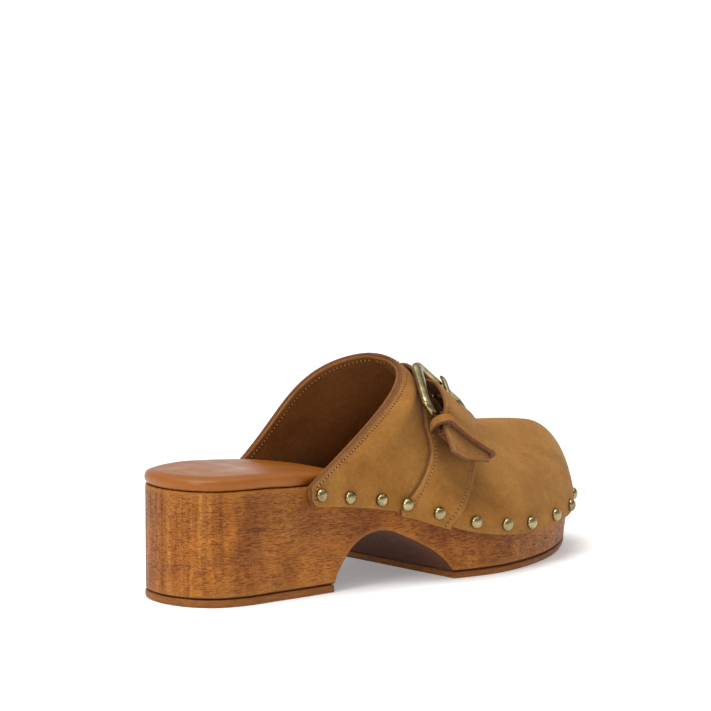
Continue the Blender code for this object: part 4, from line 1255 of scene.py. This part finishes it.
def thread_look():
    n = Nodes("waxed_thread", 0.6)
    twist = n.noise(2400.0, 2.0, 0.6)
    base = n.ramp(twist, (0.3, (0.24, 0.1, 0.03)), (0.65, (0.46, 0.23, 0.08)))
    n.bump((twist, 0.3, 0.0001))
    return n.finish(base, n.ramp(twist, (0.3, 0.75), (0.7, 0.5)))


def brass_look():
    n = Nodes("antique_gold", 0.2, metallic=1.0)
    cloud = n.noise(160.0, 4.0, 0.6)
    base = n.ramp(cloud, (0.3, (0.21, 0.165, 0.075)), (0.7, (0.49, 0.4, 0.205)))
    n.bump((n.noise(700.0, 3.0), 0.06, 0.0002))
    return n.finish(base, n.ramp(n.noise(420.0), (0.3, 0.14), (0.7, 0.28)))


# painted shade: near-black colour of the needle-hole discs, the shade inside each hole
def hole_look():
    n = Nodes("needle_hole", 0.95)
    fibre = n.noise(1600.0)
    return n.finish(n.ramp(fibre, (0.3, (0.05, 0.016, 0.006)), (0.7, (0.12, 0.04, 0.014))))


def plain_look(name, colour, roughness):
    n = Nodes(name, roughness)
    soft = n.noise(3.0, 2.0)
    base = n.ramp(soft, (0.3, tuple(0.985 * c for c in colour)), (0.7, colour))
    return n.finish(base)


LOOKS = {
    "wood": wood_look(),
    "outsole": outsole_look(),
    "leather": leather_look(),
    "suede": suede_look("camel_suede_nap", (0.26, 0.106, 0.019), (0.335, 0.15, 0.031),
                        (0.42, 0.205, 0.05)),
    "lining": suede_look("brown_suede_flesh", (0.18, 0.067, 0.015), (0.24, 0.092, 0.021),
                         (0.3, 0.125, 0.032)),
    "edge": edge_look(),
    "thread": thread_look(),
    "hole": hole_look(),
    "brass": brass_look(),
}
SUEDE_SHEET = [LOOKS[key] for key in ("lining", "suede", "edge")]  # flesh side, nap, cut edge


# ---------------------------------------------------------------- setting
def make_floor():
    mesh = bpy.data.meshes.new("floor")
    corners = [(-FLOOR, -FLOOR, 0), (FLOOR, -FLOOR, 0), (FLOOR, FLOOR, 0), (-FLOOR, FLOOR, 0)]
    mesh.from_pydata(corners, [], [(0, 1, 2, 3)])
    look = plain_look("studio_floor", (0.92, 0.92, 0.92), 0.95)
    shade = look.node_tree.nodes["Principled BSDF"]
    shade.inputs["Emission Color"].default_value = (1.0, 1.0, 1.0, 1.0)
    shade.inputs["Emission Strength"].default_value = 0.22
    shade.inputs["Specular IOR Level"].default_value = 0.0
    mesh.materials.append(look)
    add_object("floor", mesh)


def area_light(name, place_at, target, size, power):
    data = bpy.data.lights.new(name, "AREA")
    data.shape = "DISK"
    data.size = size
    data.energy = power
    made = add_object(name, data)
    made.location = place_at
    aim = Vector(target) - Vector(place_at)
    made.rotation_euler = aim.to_track_quat("-Z", "Y").to_euler()


def make_world():
    """White at the horizon, dim at middle height and bright overhead."""
    backdrop = bpy.data.worlds.new("studio")
    backdrop.use_nodes = True
    shade = backdrop.node_tree.nodes["Background"]
    tree = backdrop.node_tree
    spot = tree.nodes.new("ShaderNodeTexCoord").outputs["Generated"]
    split = tree.nodes.new("ShaderNodeSeparateXYZ")
    tree.links.new(spot, split.inputs["Vector"])
    ramp = tree.nodes.new("ShaderNodeValToRGB")
    steps = ((0.0, 1.0), (0.2, 1.0), (0.34, 0.3), (0.6, 0.3), (0.85, 0.85), (1.0, 0.95))
    fill_ramp(ramp.color_ramp, steps)
    tree.links.new(split.outputs["Z"], ramp.inputs["Fac"])
    tree.links.new(ramp.outputs["Color"], shade.inputs["Color"])
    shade.inputs["Strength"].default_value = 1.0
    bpy.context.scene.world = backdrop


def make_lights():
    sun = bpy.data.lights.new("key", "SUN")
    sun.energy = 1.7
    sun.angle = math.radians(35.0)
    lamp = add_object("key", sun)
    lamp.rotation_euler = Vector((0.05, 0.3, -1.0)).to_track_quat("-Z", "Y").to_euler()
    area_light("softbox", (0.25, -1.2, 0.75), (0, 0, 0.05), 0.45, 4.0)


def make_camera():
    data = bpy.data.cameras.new("camera")
    data.lens = CAMERA_LENS
    data.sensor_width = 36.0
    data.clip_start = 0.1
    made = add_object("camera", data)
    right = Vector(CAMERA_RIGHT).normalized()
    back = Vector(CAMERA_BACK).normalized()
    above = back.cross(right).normalized()
    back = right.cross(above)
    columns = [(*axis, 0.0) for axis in (right, above, back)] + [(*CAMERA_PLACE, 1.0)]
    made.matrix_world = Matrix(columns).transposed()
    bpy.context.scene.camera = made
    bpy.context.scene.view_settings.view_transform = "Standard"


# ---------------------------------------------------------------- assembly
make_wood()
make_toplift()
make_outsole()
make_footbed()
UPPER_GRID, UPPER_NORMALS = make_upper()
collar_stitches(UPPER_GRID, UPPER_NORMALS)
SURFACE = Surface(UPPER_GRID)
make_lateral_strap(SURFACE)
STRAP_GRID, STRAP_FACING = make_medial_strap(SURFACE)
make_shade_web(SURFACE, STRAP_GRID, STRAP_FACING)
make_keeper(SURFACE, STRAP_GRID, STRAP_FACING)
make_frame()
make_prong()
make_chape()
make_studs(SURFACE)
make_floor()
make_world()
make_lights()
make_camera()
